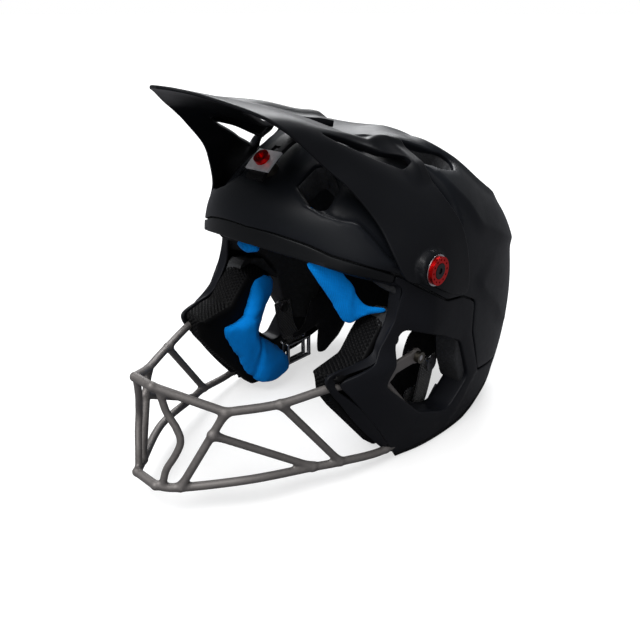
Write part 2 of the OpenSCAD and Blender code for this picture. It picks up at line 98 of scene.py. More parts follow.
def surf_normal(p, h=0.4):
    g = np.zeros_like(p)
    for k in range(3):
        e = np.zeros(3); e[k] = h
        g[:, k] = fimp(p + e) - fimp(p - e)
    g[np.abs(p[:, 0]) < 1e-4, 0] = 0
    return g / np.maximum(np.linalg.norm(g, axis=1, keepdims=True), 1e-9)

NAg, NSg, NQg = 720, 700, 400
_ag = np.linspace(0, 2 * np.pi, NAg + 1)
_sg = np.linspace(0, np.pi / 2, NSg + 1)
_pts = surf(_sg[None, :], _ag[:, None])
_seg = np.linalg.norm(np.diff(_pts, axis=1), axis=2)
_lam = np.concatenate([np.zeros((NAg + 1, 1)), np.cumsum(_seg, axis=1)], 1)
_lam = _lam / _lam[:, -1:]
_qg = np.linspace(0, 1, NQg + 1)
_sinv = np.stack([np.interp(_qg, _lam[k], _sg) for k in range(NAg + 1)])

def bil(tab, ia, ib):
    i0 = np.clip(np.floor(ia).astype(int), 0, tab.shape[0] - 2)
    j0 = np.clip(np.floor(ib).astype(int), 0, tab.shape[1] - 2)
    u = ia - i0; v = ib - j0
    return (tab[i0, j0] * (1 - u) * (1 - v) + tab[i0 + 1, j0] * u * (1 - v)
            + tab[i0, j0 + 1] * (1 - u) * v + tab[i0 + 1, j0 + 1] * u * v)

class ShellChart:
    """Plane chart of the left half of the shell surface."""
    def to3d(self, X):
        a = np.arctan2(X[:, 1], X[:, 0]) % (2 * np.pi)
        q = np.clip(np.hypot(X[:, 0], X[:, 1]) / LQ, 0, 1)
        s = bil(_sinv, a / (2 * np.pi) * NAg, q * NQg)
        s = np.where(q > 1 - 1e-7, np.pi / 2, s)
        p = surf(s, a)
        p[q > 1 - 1e-7, 0] = 0.0
        return p, surf_normal(p)
    def dom(self, s, a):
        a = a % (2 * np.pi)
        q = bil(_lam, a / (2 * np.pi) * NAg, s / (np.pi / 2) * NSg)
        return np.stack([LQ * q * np.cos(a), LQ * q * np.sin(a)], -1)
    def from3d(self, P):
        P = np.array(P, float)
        a = np.arctan2(P[:, 2] - CZ, P[:, 1] - CY)
        r = np.hypot(P[:, 1] - CY, P[:, 2] - CZ)
        n = expo(a)
        x = np.abs(P[:, 0]) / waist(P[:, 1], P[:, 2])
        s = np.arctan2((r / out_r(a)) ** (n / 2), (x / W) ** (n / 2))
        return self.dom(s, a)
    def fromside(self, Q):
        Q = np.array(Q, float)
        a = np.arctan2(Q[:, 1] - CZ, Q[:, 0] - CY)
        r = np.hypot(Q[:, 0] - CY, Q[:, 1] - CZ)
        s = np.arcsin(np.clip(r / out_r(a), 0, 1) ** (expo(a) / 2))
        return self.dom(s, a)
    def onedge(self, X):
        return np.hypot(X[:, 0], X[:, 1]) > LQ - 1e-4

# ---------------------------------------------------------------- visor surface
VE = np.array([[0, -133, 266], [12, -129, 265], [23, -119, 261.5], [41, -100, 252.5], [49, -86, 243.5], [53, -74.5, 233.5], [58, -59, 218.5], [68, -47, 205], [81, -34.4, 182.2], [92.3, -30.8, 162.6], [98.8, -25.5, 145.3]], float)
VM = np.array([[0, -80, 253.5], [12, -79, 253], [23, -76, 252], [39, -66, 246.5], [48, -56, 240], [55, -50, 232], [63, -37, 219], [74, -26, 203], [90, -17, 181.2], [101, -10, 160.5], [106.2, -4.5, 138.3]], float)
VR = np.array([[0, -28, 240], [12, -27, 239.5], [24, -25, 238], [38, -20, 232], [48, -12, 226.5], [58, -6, 220.5], [72.5, -3, 210], [86, -1, 196], [98.7, 5.5, 177], [105.6, 11.5, 156.5], [109, 13.7, 128.2]], float)
VB = np.array([[0, 4, 232.2], [12, 5, 232], [26, 7, 231], [42, 9, 226.5], [54, 12, 220.5], [65, 14, 213.5], [81.5, 16, 203.5], [94, 20, 190], [103, 29, 172], [107.7, 34, 149], [109.4, 36.5, 121.5]], float)

def along(L, u):
    m = len(L) - 1
    L = np.vstack([2 * L[0] - L[1], L, 2 * L[m] - L[m - 1]])
    w = np.clip(u * m, 0, m - 1e-6)
    i = np.floor(w).astype(int)
    t = (w - i)[:, None]
    return cr(L[i], L[i + 1], L[i + 2], L[i + 3], t)

def visor_pt(u, v):
    C = [along(K, u) for K in (VE, VM, VR, VB)]
    C = [2 * C[0] - C[1]] + C + [2 * C[3] - C[2]]
    C = np.stack(C)
    w = np.clip(v * 3, 0, 3 - 1e-6)
    i = np.floor(w).astype(int)
    t = (w - i)[:, None]
    k = np.arange(len(u))
    return cr(C[i, k], C[i + 1, k], C[i + 2, k], C[i + 3, k], t)

LU, LV = 205.0, 105.0

class VisorChart:
    def to3d(self, X):
        u = np.clip(X[:, 0] / LU, 0, 1); v = np.clip(X[:, 1] / LV, 0, 1)
        h = 0.004
        p = visor_pt(u, v)
        du = visor_pt(np.clip(u + h, 0, 1), v) - visor_pt(np.clip(u - h, 0, 1), v)
        dv = visor_pt(u, np.clip(v + h, 0, 1)) - visor_pt(u, np.clip(v - h, 0, 1))
        du[u < 1e-6, 1:] = 0
        n = np.cross(du, dv)
        p[u < 1e-6, 0] = 0; n[u < 1e-6, 0] = 0
        return p, n / np.linalg.norm(n, axis=1, keepdims=True)
    def fromplan(self, Q):
        Q = np.array(Q, float)
        uu, vv = np.meshgrid(np.linspace(0, 1, 261), np.linspace(0, 1, 161))
        uu = uu.ravel(); vv = vv.ravel()
        P = visor_pt(uu, vv)
        out = []
        for q in Q:
            k = np.argmin((P[:, 0] - q[0]) ** 2 + (P[:, 1] - q[1]) ** 2)
            out.append([uu[k] * LU, vv[k] * LV])
        return np.array(out)
    def onedge(self, X):
        return X[:, 0] < 1e-4

# ---------------------------------------------------------------- plane geometry helpers
def fillet(poly, r, closed=True, step=6):
    P = np.array(poly, float); n = len(P); out = []
    rr = r if hasattr(r, '__len__') else [r] * n
    for i in range(n):
        if not closed and i in (0, n - 1):
            out.append(P[i]); continue
        a, b, c = P[i - 1], P[i], P[(i + 1) % n]
        u = a - b; v = c - b; lu = np.linalg.norm(u); lv = np.linalg.norm(v)
        u = u / lu; v = v / lv
        cosang = np.clip(np.dot(u, v), -1, 1); ang = math.acos(cosang)
        if ang > math.radians(176) or rr[i] <= 0:
            out.append(b); continue
        d = min(rr[i] / math.tan(ang / 2), 0.45 * lu, 0.45 * lv)
        p0 = b + u * d; p1 = b + v * d
        for k in range(step + 1):
            t = k / step
            out.append((1 - t) ** 2 * p0 + 2 * t * (1 - t) * b + t * t * p1)
    return np.array(out)

def densify(P, step, closed=True):
    P = np.array(P, float); Q = np.vstack([P, P[:1]]) if closed else P
    out = []
    for a, b in zip(Q[:-1], Q[1:]):
        m = max(1, int(np.ceil(np.linalg.norm(b - a) / step)))
        for k in range(m):
            out.append(a + (b - a) * k / m)
    if not closed:
        out.append(Q[-1])
    return np.array(out)

def resample(P, step, closed=True, keep=None):
    """Even spacing along a polyline; corners named by keep stay."""
    P = np.array(P, float)
    Q = np.vstack([P, P[:1]]) if closed else P
    L = np.concatenate([[0], np.cumsum(np.linalg.norm(np.diff(Q, axis=0), axis=1))])
    ok = np.concatenate([[True], np.diff(L) > 1e-9]); Q = Q[ok]; L = L[ok]
    m = max(3, int(round(L[-1] / step)))
    t = np.linspace(0, L[-1], m + 1)
    R = np.stack([np.interp(t, L, Q[:, k]) for k in range(Q.shape[1])], -1)
    return R[:-1] if closed else R

def loop_normals(P, closed=True):
    if closed:
        t = np.roll(P, -1, 0) - np.roll(P, 1, 0)
    else:
        t = np.gradient(P, axis=0)
    t = t / np.maximum(np.linalg.norm(t, axis=1, keepdims=True), 1e-9)
    return np.stack([t[:, 1], -t[:, 0]], -1)     # points out of a counter-clockwise loop

def area2(P):
    x, y = P[:, 0], P[:, 1]
    return 0.5 * np.sum(x * np.roll(y, -1) - y * np.roll(x, -1))

def ccw(P):
    return P if area2(P) > 0 else P[::-1].copy()

def inpoly(X, P):
    x, y = X[:, 0], X[:, 1]
    c = np.zeros(len(X), bool)
    a = P; b = np.roll(P, 1, 0)
    for (ax, ay), (bx, by) in zip(a, b):
        if ay == by:
            continue
        m = ((ay > y) != (by > y))
        c ^= m & (x < (bx - ax) * (y - ay) / (by - ay) + ax)
    return c

def sdist(X, P, closed=True):
    """Signed distance to a polygon, positive inside; unsigned for an open line."""
    A = P; B = np.roll(P, -1, 0)
    if not closed:
        A, B = P[:-1], P[1:]
    best = np.full(len(X), 1e9)
    for a, b in zip(A, B):
        d = b - a; l2 = max(np.dot(d, d), 1e-12)
        t = np.clip(((X - a) @ d) / l2, 0, 1)
        q = X - a - t[:, None] * d
        best = np.minimum(best, q[:, 0] ** 2 + q[:, 1] ** 2)
    best = np.sqrt(best)
    if closed:
        best = np.where(inpoly(X, P), best, -best)
    return best

def smooth01(t):
    t = np.clip(t, 0, 1)
    return t * t * (3 - 2 * t)

def hexgrid(lo, hi, g):
    xs = np.arange(lo[0], hi[0] + g, g); ys = np.arange(lo[1], hi[1] + g, g * 0.866)
    X, Y = np.meshgrid(xs, ys)
    X = X + (np.arange(len(ys)) % 2)[:, None] * g * 0.5
    return np.stack([X.ravel(), Y.ravel()], -1)

def near_mask(X, C, d):
    kd = KDTree(len(C))
    for i, c in enumerate(C):
        kd.insert((c[0], c[1], 0), i)
    kd.balance()
    return np.array([kd.find((x[0], x[1], 0))[2] < d for x in X])

# ---------------------------------------------------------------- panel builder
def roll(er, depth, n=4, wall=None, inset=1.4, dx=0.0):
    """Edge profile as (out, down, along -X) steps; ends on the inner face."""
    prof = []
    for k in range(1, n + 1):
        th = math.pi / 2 * k / n
        prof.append((er * math.sin(th), er * (1 - math.cos(th)), 0))
    if wall is None:
        e2 = min(er * 0.6, depth * 0.4)
        prof.append((er, depth - e2, 0)); prof.append((er - e2 * 0.4, depth - e2 * 0.2, 0)); prof.append((er - e2, depth, 0))
    else:
        m = max(2, int(wall / 3))
        for k in range(1, m + 1):
            prof.append((er, er + (wall - er) * k / m * (0 if dx else 1), dx * k / m))
        prof.append((er - inset * 0.5, er + (wall - er) * (0 if dx else 1) + 0.3 * (0 if dx else 1), dx + (0.3 if dx else 0)))
        prof.append((er - inset, er + (wall - er) * (0 if dx else 1), dx))
        prof.append((er - inset, depth, 0))
    return prof

def panel(chart, outline, holes=(), depth=2.8, grid=2.4, er=0.9, gap=0.0, lines=(), height=None, rims=None, bstep=1.5, symmetric=True, mirror=True, edge_out=None):
    """Closed solid from a region of a chart. holes: list of polygons in chart coordinates (already dense)."""
    sh = er + gap
    O = ccw(outline)
    on = chart.onedge(O) if symmetric else np.zeros(len(O), bool)
    nrm = loop_normals(O)
    O2 = O - nrm * sh * (~on)[:, None]
    if symmetric and on.any():
        # ends of the run on the middle line slide along it
        idx = np.where(on)[0]
        for i in idx:
            for j in (i - 1, (i + 1) % len(O)):
                if not on[j]:
                    pass
        if isinstance(chart, ShellChart):
            ang = np.arctan2(O2[:, 1], O2[:, 0]); rad = np.hypot(O2[:, 0], O2[:, 1])
            near = (~on) & (np.hypot(O[:, 0], O[:, 1]) > LQ - 1.3)
            O2 = O2[~near]; on = on[~near]; O0 = O[~near]
            # shift the end points of each run towards the inside of the region
            m = len(O2)
            run = [i for i in range(m) if on[i] and (not on[i - 1] or not on[(i + 1) % m])]
            for i in run:
                step = 1 if on[(i + 1) % m] else -1
                j = (i + step) % m
                d = O0[j] - O0[i]; l = np.linalg.norm(d)
                if l > 0:
                    p = O0[i] + d / l * min(sh, l * 0.8)
                    O2[i] = p / np.hypot(*p) * LQ
        else:
            near = (~on) & (O[:, 0] < 1.3)
            O2 = O2[~near]; on = on[~near]; O0 = O[~near]
            m = len(O2)
            run = [i for i in range(m) if on[i] and (not on[i - 1] or not on[(i + 1) % m])]
            for i in run:
                step = 1 if on[(i + 1) % m] else -1
                d = O0[(i + step) % m] - O0[i]; l = np.linalg.norm(d)
                O2[i] = O0[i] + d / l * min(sh, l * 0.8)
                O2[i, 0] = 0
    H2 = []
    for h in holes:
        h = ccw(h)
        H2.append(h + loop_normals(h) * sh)
    cons = [O2] + H2
    verts = []; edges = []
    def add(P, closed=True):
        b = len(verts)
        verts.extend([tuple(p) for p in P])
        n = len(P)
        for k in range(n if closed else n - 1):
            edges.append((b + k, b + (k + 1) % n))
    for c in cons:
        add(c)
    allc = [densify(c, grid * 0.6) for c in cons]
    for ln in lines:
        lp, cl = ln
        keepm = inpoly(lp, O2)
        for h in H2:
            keepm &= ~inpoly(lp, h)
        # leave a margin so that no line vertex crowds the border
        keepm &= ~near_mask(lp, np.vstack(allc), grid * 0.35)
        n = len(lp); b = len(verts); ids = -np.ones(n, int); c = 0
        for k in range(n):
            if keepm[k]:
                ids[k] = b + c; c += 1; verts.append(tuple(lp[k]))
        for k in range(n if cl else n - 1):
            if ids[k] >= 0 and ids[(k + 1) % n] >= 0:
                edges.append((ids[k], ids[(k + 1) % n]))
        if keepm.any():
            allc.append(lp[keepm])
    C = np.vstack(allc)
    G = hexgrid(O2.min(0) - grid, O2.max(0) + grid, grid)
    m = inpoly(G, O2)
    for h in H2:
        m &= ~inpoly(G, h)
    G = G[m]
    G = G[~near_mask(G, C, grid * 0.72)]
    verts.extend([tuple(p) for p in G])
    r = delaunay_2d_cdt([Vector(v) for v in verts], edges, [], 0, 1e-6, False)
    V = np.array([tuple(v) for v in r[0]]); F = np.array([list(f) for f in r[2]], int)
    if isinstance(chart, ShellChart):
        pass
    cen = V[F].mean(1)
    keep = inpoly(cen, O2)
    for h in H2:
        keep &= ~inpoly(cen, h)
    F = F[keep]
    used = np.unique(F); remap = -np.ones(len(V), int); remap[used] = np.arange(len(used))
    V = V[used]; F = remap[F]
    a2 = (V[F[:, 1], 0] - V[F[:, 0], 0]) * (V[F[:, 2], 1] - V[F[:, 0], 1]) - (V[F[:, 2], 0] - V[F[:, 0], 0]) * (V[F[:, 1], 1] - V[F[:, 0], 1])
    F[a2 < 0] = F[a2 < 0][:, ::-1]
    F = F[np.abs(a2) > 1e-7]
    P, N = chart.to3d(V)
    sym = chart.onedge(V) if symmetric else np.zeros(len(V), bool)
    if height is not None:
        P = P + N * height(V, P)[:, None]
        # normals of the raised surface
        fn = np.cross(P[F[:, 1]] - P[F[:, 0]], P[F[:, 2]] - P[F[:, 0]])
        vn = np.zeros_like(P)
        for k in range(3):
            np.add.at(vn, F[:, k], fn)
        vn[sym, 0] = 0
        vn = vn / np.maximum(np.linalg.norm(vn, axis=1, keepdims=True), 1e-9)
        N = vn
    P[sym, 0] = 0; N[sym, 0] = 0
    N = N / np.linalg.norm(N, axis=1, keepdims=True)
    # border edges
    E = {}
    for f in F:
        for k in range(3):
            E[(f[k], f[(k + 1) % 3])] = 1
    nxt = {}
    for (a, b) in E:
        if (b, a) not in E and not (sym[a] and sym[b]):
            nxt[a] = b
    prv = {b: a for a, b in nxt.items()}
    border = sorted(set(nxt) | set(prv))
    T = np.zeros_like(P); kind = {}
    for v in border:
        a = prv.get(v, v); b = nxt.get(v, v)
        t = P[b] - P[a]
        T[v] = t / max(np.linalg.norm(t), 1e-9)
    out = np.cross(T, N)
    out[sym, 0] = 0
    l = np.linalg.norm(out, axis=1, keepdims=True); out = out / np.maximum(l, 1e-9)
    # one profile for each loop
    prof0 = rims[0] if rims else roll(er, depth)
    hole_of = np.full(len(V), -1)
    for i, h in enumerate(H2):
        bd = np.array(border)
        if len(bd):
            d = np.abs(sdist(V[bd], h)) < 0.05
            hole_of[bd[d]] = i
    inner = P - N * depth
    allP = [P, inner]; n0 = len(P); faces = [F, F[:, ::-1] + n0]
    base = 2 * n0
    quads = []
    maxlen = max([len(prof0)] + [len(x) for x in (rims[1] if rims and len(rims) > 1 else [])])
    def padp(p):
        return list(p) + [p[-1]] * (maxlen - len(p))
    profs = [padp(prof0)] + [padp(x) for x in (rims[1] if rims and len(rims) > 1 else [prof0] * len(H2))]
    PR = np.array(profs)                       # (loops, maxlen, 3)
    bidx = np.array(border); pid = hole_of[bidx] + 1
    rings = []
    xdir = np.array([1.0, 0, 0])
    for k in range(maxlen):
        o = PR[pid, k, 0][:, None]; d = PR[pid, k, 1][:, None]; x = PR[pid, k, 2][:, None]
        R = P[bidx] + out[bidx] * o - N[bidx] * d - xdir * x
        rings.append(R)
    pos = {v: i for i, v in enumerate(border)}
    nb = len(border)
    allP += rings
    def rid(v, k):
        if k < 0: return v
        if k >= maxlen: return n0 + v
        return base + k * nb + pos[v]
    for a, b in nxt.items():
        for k in range(-1, maxlen):
            q = (rid(b, k), rid(a, k), rid(a, k + 1), rid(b, k + 1))
            quads.append(q)
    allP = np.vstack(allP)
    Q = np.array(quads)
    faces = [tuple(f) for f in np.vstack(faces)] + [tuple(q) for q in Q]
    if mirror:
        if symmetric and sym.any():
            n = len(allP)
            onx = np.abs(allP[:, 0]) < 1e-5
            mid = np.where(onx, np.arange(n), np.cumsum(~onx) - 1 + n)
            allP2 = allP[~onx] * np.array([-1, 1, 1])
            faces = faces + [tuple(mid[list(f)][::-1]) for f in faces]
            allP = np.vstack([allP, allP2])
        else:
            n = len(allP)
            faces = faces + [tuple((np.array(f) + n)[::-1]) for f in faces]
            allP = np.vstack([allP, allP * np.array([-1, 1, 1])])
    return allP, faces

def make(name, P, faces, mat, body="helmet", repl=(), sharp=None, smooth=True, merge=True):
    me = bpy.data.meshes.new(name)
    me.from_pydata((np.asarray(P) * MM).tolist(), [], [tuple(int(i) for i in f) for f in faces])
    me.update()
    ob = bpy.data.objects.new(name, me)
    scene.collection.objects.link(ob)
    if merge:
        bm = bmesh.new(); bm.from_mesh(me)
        bmesh.ops.remove_doubles(bm, verts=bm.verts, dist=2e-6)
        bmesh.ops.dissolve_degenerate(bm, dist=1e-6, edges=bm.edges)
        bm.to_mesh(me); bm.free()
    if smooth:
        for p in me.polygons: p.use_smooth = True
        if sharp:
            me.set_sharp_from_angle(angle=math.radians(sharp))
    if mat: me.materials.append(mat)
    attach(ob, body)
    if repl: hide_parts(*repl)
    return ob

def sweep(path, prof, closed=False, up=None):
    """Sweeps a closed profile (list of (a, b)) along a path with given frame vectors (A, B per point)."""
    path = np.array(path, float)
    A, B = up
    n, m = len(path), len(prof)
    P = []
    for i in range(n):
        for (a, b) in prof:
            P.append(path[i] + A[i] * a + B[i] * b)
    F = []
    for i in range(n if closed else n - 1):
        j = (i + 1) % n
        for k in range(m):
            l = (k + 1) % m
            F.append((i * m + k, i * m + l, j * m + l, j * m + k))
    if not closed:
        F.append(tuple(range(m))[::-1]); F.append(tuple((n - 1) * m + k for k in range(m)))
    return np.array(P), F

def smooth_path(pts, step=2.0, closed=False, tension=None):
    P = np.array(pts, float); n = len(P); out = []
    for i in range(n if closed else n - 1):
        if closed:
            a, b, c, d = P[i - 1], P[i], P[(i + 1) % n], P[(i + 2) % n]
        else:
            a = P[i - 1] if i else 2 * P[0] - P[1]; b = P[i]; c = P[i + 1]
            d = P[i + 2] if i + 2 < n else 2 * P[n - 1] - P[n - 2]
        m = max(2, int(np.linalg.norm(c - b) / step))
        for k in range(m):
            out.append(cr(a, b, c, d, k / m))
    if not closed: out.append(P[-1])
    return np.array(out)

def tube_mesh(path, r, seg=20):
    """Round tube with rotation-minimising frames; r may be a list."""
    path = np.array(path, float); n = len(path)
    rr = np.full(n, r) if np.isscalar(r) else np.array(r)
    t = np.gradient(path, axis=0); t /= np.linalg.norm(t, axis=1, keepdims=True)
    a = np.cross(t[0], [0, 0, 1.0])
    if np.linalg.norm(a) < 0.1: a = np.cross(t[0], [0, 1.0, 0])
    a /= np.linalg.norm(a)
    P = []
    for i in range(n):
        a = a - t[i] * np.dot(a, t[i]); a /= np.linalg.norm(a); b = np.cross(t[i], a)
        for k in range(seg):
            th = 2 * math.pi * k / seg
            P.append(path[i] + rr[i] * (a * math.cos(th) + b * math.sin(th)))
    F = []
    for i in range(n - 1):
        for k in range(seg):
            l = (k + 1) % seg
            F.append((i * seg + k, i * seg + l, (i + 1) * seg + l, (i + 1) * seg + k))
    F.append(tuple(range(seg))[::-1]); F.append(tuple((n - 1) * seg + k for k in range(seg)))
    return np.array(P), F

def joinm(parts):
    P = []; F = []; b = 0
    for p, f in parts:
        P.append(np.array(p)); F += [tuple(int(i) + b for i in q) for q in f]; b += len(p)
    return np.vstack(P), F

def mirrored(p, f):
    return np.array(p) * np.array([-1, 1, 1]), [tuple(q)[::-1] for q in f]

def remesh(ob, size, smooth_iter=0, factor=0.5):
    m = ob.modifiers.new("r", 'REMESH'); m.mode = 'VOXEL'; m.voxel_size = size * MM; m.use_smooth_shade = True
    if smooth_iter:
        s = ob.modifiers.new("s", 'SMOOTH'); s.iterations = smooth_iter; s.factor = factor
    bake(ob)

def bake(ob):
    dg = bpy.context.evaluated_depsgraph_get()
    ev = ob.evaluated_get(dg)
    me = bpy.data.meshes.new_from_object(ev, preserve_all_data_layers=True, depsgraph=dg)
    old = ob.data; ob.modifiers.clear(); ob.data = me; bpy.data.meshes.remove(old)

# ---------------------------------------------------------------- materials
def new_mat(name):
    m = bpy.data.materials.new(name); m.use_nodes = True
    nt = m.node_tree; nt.nodes.clear()
    out = nt.nodes.new('ShaderNodeOutputMaterial'); b = nt.nodes.new('ShaderNodeBsdfPrincipled')
    nt.links.new(b.outputs['BSDF'], out.inputs['Surface'])
    return m, nt, b

def rgb(c):
    return (c[0], c[1], c[2], 1.0)

def lin(c):
    return tuple(((v / 255.0) / 12.92 if v / 255.0 <= 0.04045 else ((v / 255.0 + 0.055) / 1.055) ** 2.4) for v in c)

def coords(nt, scale=(1, 1, 1), rot=(0, 0, 0)):
    tc = nt.nodes.new('ShaderNodeTexCoord'); mp = nt.nodes.new('ShaderNodeMapping')
    mp.inputs['Scale'].default_value = scale; mp.inputs['Rotation'].default_value = rot
    nt.links.new(tc.outputs['Object'], mp.inputs['Vector'])
    return mp.outputs['Vector']

def noise(nt, vec, scale, detail=4, rough=0.6):
    n = nt.nodes.new('ShaderNodeTexNoise')
    n.inputs['Scale'].default_value = scale; n.inputs['Detail'].default_value = detail; n.inputs['Roughness'].default_value = rough
    nt.links.new(vec, n.inputs['Vector'])
    return n.outputs['Fac']

def ramp(nt, fac, stops):
    r = nt.nodes.new('ShaderNodeValToRGB')
    e = r.color_ramp.elements
    e[0].position = stops[0][0]; e[0].color = stops[0][1]
    e[1].position = stops[-1][0]; e[1].color = stops[-1][1]
    for p, c in stops[1:-1]:
        k = e.new(p); k.color = c
    nt.links.new(fac, r.inputs['Fac'])
    return r.outputs['Color']

def g4(v):
    return (v, v, v, 1)

def maprange(nt, fac, lo, hi, a=0.0, b=1.0):
    m = nt.nodes.new('ShaderNodeMapRange')
    m.inputs['From Min'].default_value = a; m.inputs['From Max'].default_value = b
    m.inputs['To Min'].default_value = lo; m.inputs['To Max'].default_value = hi
    nt.links.new(fac, m.inputs['Value'])
    return m.outputs['Result']

def bump(nt, bsdf, hts, strength=0.3, dist=0.0002, prev=None):
    b = nt.nodes.new('ShaderNodeBump')
    b.inputs['Strength'].default_value = strength; b.inputs['Distance'].default_value = dist
    nt.links.new(hts, b.inputs['Height'])
    if prev is not None: nt.links.new(prev, b.inputs['Normal'])
    nt.links.new(b.outputs['Normal'], bsdf.inputs['Normal'])
    return b.outputs['Normal']

def math2(nt, op, a, b):
    m = nt.nodes.new('ShaderNodeMath'); m.operation = op
    for i, v in enumerate((a, b)):
        if isinstance(v, (int, float)): m.inputs[i].default_value = v
        elif v is not None: nt.links.new(v, m.inputs[i])
    return m.outputs[0]

def mixc(nt, fac, a, b):
    m = nt.nodes.new('ShaderNodeMix'); m.data_type = 'RGBA'
    if isinstance(fac, (int, float)): m.inputs[0].default_value = fac
    else: nt.links.new(fac, m.inputs[0])
    for i, v in ((6, a), (7, b)):
        if isinstance(v, tuple): m.inputs[i].default_value = v
        else: nt.links.new(v, m.inputs[i])
    return m.outputs[2]

def plastic(name, col, rough=0.5, spec=0.5, grain=0.25, gscale=2600, vary=0.12, coat=0.0):
    """Moulded plastic: fine texture, slow colour drift, handled edges slightly paler."""
    m, nt, b = new_mat(name)
    v = coords(nt)
    big = noise(nt, v, 14, 5, 0.55); fine = noise(nt, v, gscale, 2, 0.5); mid = noise(nt, v, 160, 6, 0.65)
    c0 = rgb(tuple(k * (1 - vary) for k in col)); c1 = rgb(tuple(min(1, k * (1 + vary)) for k in col))
    c = ramp(nt, big, [(0.3, c0), (0.7, c1)])
    geo = nt.nodes.new('ShaderNodeNewGeometry')
    wear = ramp(nt, geo.outputs['Pointiness'], [(0.5, g4(0)), (0.62, g4(0)), (0.72, g4(0.35))])
    w2 = math2(nt, 'MULTIPLY', wear, mid)
    c = mixc(nt, w2, c, rgb(tuple(min(1, k * 2.2 + 0.01) for k in col)))
    nt.links.new(c, b.inputs['Base Color'])
    nt.links.new(maprange(nt, mid, rough - 0.07, rough + 0.08), b.inputs['Roughness'])
    b.inputs['Specular IOR Level'].default_value = spec
    b.inputs['Coat Weight'].default_value = coat
    n1 = bump(nt, b, fine, grain, 0.00012)
    return m

def metal(name, col, rough=0.3, grain=0.2, gscale=900, metallic=1.0, aniso=False):
    m, nt, b = new_mat(name)
    v = coords(nt, (1, 1, 1) if not aniso else (1, 1, 14))
    fine = noise(nt, v, gscale, 3, 0.6); mid = noise(nt, v, 90, 6, 0.7)
    c = ramp(nt, mid, [(0.3, rgb(tuple(k * 0.78 for k in col))), (0.7, rgb(tuple(min(1, k * 1.15) for k in col)))])
    nt.links.new(c, b.inputs['Base Color'])
    b.inputs['Metallic'].default_value = metallic
    nt.links.new(maprange(nt, mid, rough - 0.08, rough + 0.1), b.inputs['Roughness'])
    bump(nt, b, fine, grain, 0.0002)
    return m

def blasted(name, col, rough=0.55):
    """Bead-blasted tube with printed grain and faint heat marks."""
    m, nt, b = new_mat(name)
    v = coords(nt)
    fine = noise(nt, v, 1500, 3, 0.7); speck = noise(nt, v, 700, 2, 0.5); mid = noise(nt, v, 55, 6, 0.7)
    c = ramp(nt, mid, [(0.3, rgb(tuple(k * 0.88 for k in col))), (0.55, rgb(col)), (0.75, rgb(tuple(k * 1.08 for k in col)))])
    sp = ramp(nt, speck, [(0.38, g4(0.9)), (0.64, g4(1.05))])
    mm = nt.nodes.new('ShaderNodeMix'); mm.data_type = 'RGBA'; mm.blend_type = 'MULTIPLY'; mm.inputs[0].default_value = 0.8
    nt.links.new(c, mm.inputs[6]); nt.links.new(sp, mm.inputs[7])
    nt.links.new(mm.outputs[2], b.inputs['Base Color'])
    b.inputs['Metallic'].default_value = 0.6
    nt.links.new(maprange(nt, speck, rough - 0.12, rough + 0.18), b.inputs['Roughness'])
    n1 = bump(nt, b, fine, 0.18, 0.0002)
    n2 = bump(nt, b, mid, 0.1, 0.0003, n1)
    return m

def fabric(name, col, weave=900, rough=0.85, sheen=0.4, wrinkle=0.5, tint=0.25):
    """Brushed knit: fine loops, soft creases and sheen."""
    m, nt, b = new_mat(name)
    v = coords(nt)
    w1 = nt.nodes.new('ShaderNodeTexWave'); w1.wave_type = 'BANDS'; w1.bands_direction = 'Z'; w1.inputs['Scale'].default_value = weave * 0.35
    w1.inputs['Distortion'].default_value = 1.5; w1.inputs['Detail'].default_value = 2
    w2 = nt.nodes.new('ShaderNodeTexWave'); w2.wave_type = 'BANDS'; w2.bands_direction = 'Y'; w2.inputs['Scale'].default_value = weave * 0.35
    w2.inputs['Distortion'].default_value = 1.5; w2.inputs['Detail'].default_value = 2
    nt.links.new(v, w1.inputs['Vector']); nt.links.new(v, w2.inputs['Vector'])
    weave_h = math2(nt, 'MULTIPLY', w1.outputs['Fac'], w2.outputs['Fac'])
    big = noise(nt, v, 22, 5, 0.6); fuzz = noise(nt, v, 1400, 3, 0.6)
    c = ramp(nt, big, [(0.3, rgb(tuple(k * (1 - tint) for k in col))), (0.7, rgb(tuple(min(1, k * (1 + tint)) for k in col)))])
    dark = ramp(nt, weave_h, [(0.0, g4(0.78)), (0.6, g4(1.0))])
    mm = nt.nodes.new('ShaderNodeMix'); mm.data_type = 'RGBA'; mm.blend_type = 'MULTIPLY'; mm.inputs[0].default_value = 1.0
    nt.links.new(c, mm.inputs[6]); nt.links.new(dark, mm.inputs[7])
    nt.links.new(mm.outputs[2], b.inputs['Base Color'])
    b.inputs['Roughness'].default_value = rough
    b.inputs['Sheen Weight'].default_value = sheen
    b.inputs['Sheen Roughness'].default_value = 0.45
    b.inputs['Specular IOR Level'].default_value = 0.08
    n1 = bump(nt, b, weave_h, 0.35, 0.0003)
    n2 = bump(nt, b, fuzz, 0.2, 0.0002, n1)
    n3 = bump(nt, b, big, wrinkle, 0.004, n2)
    return m

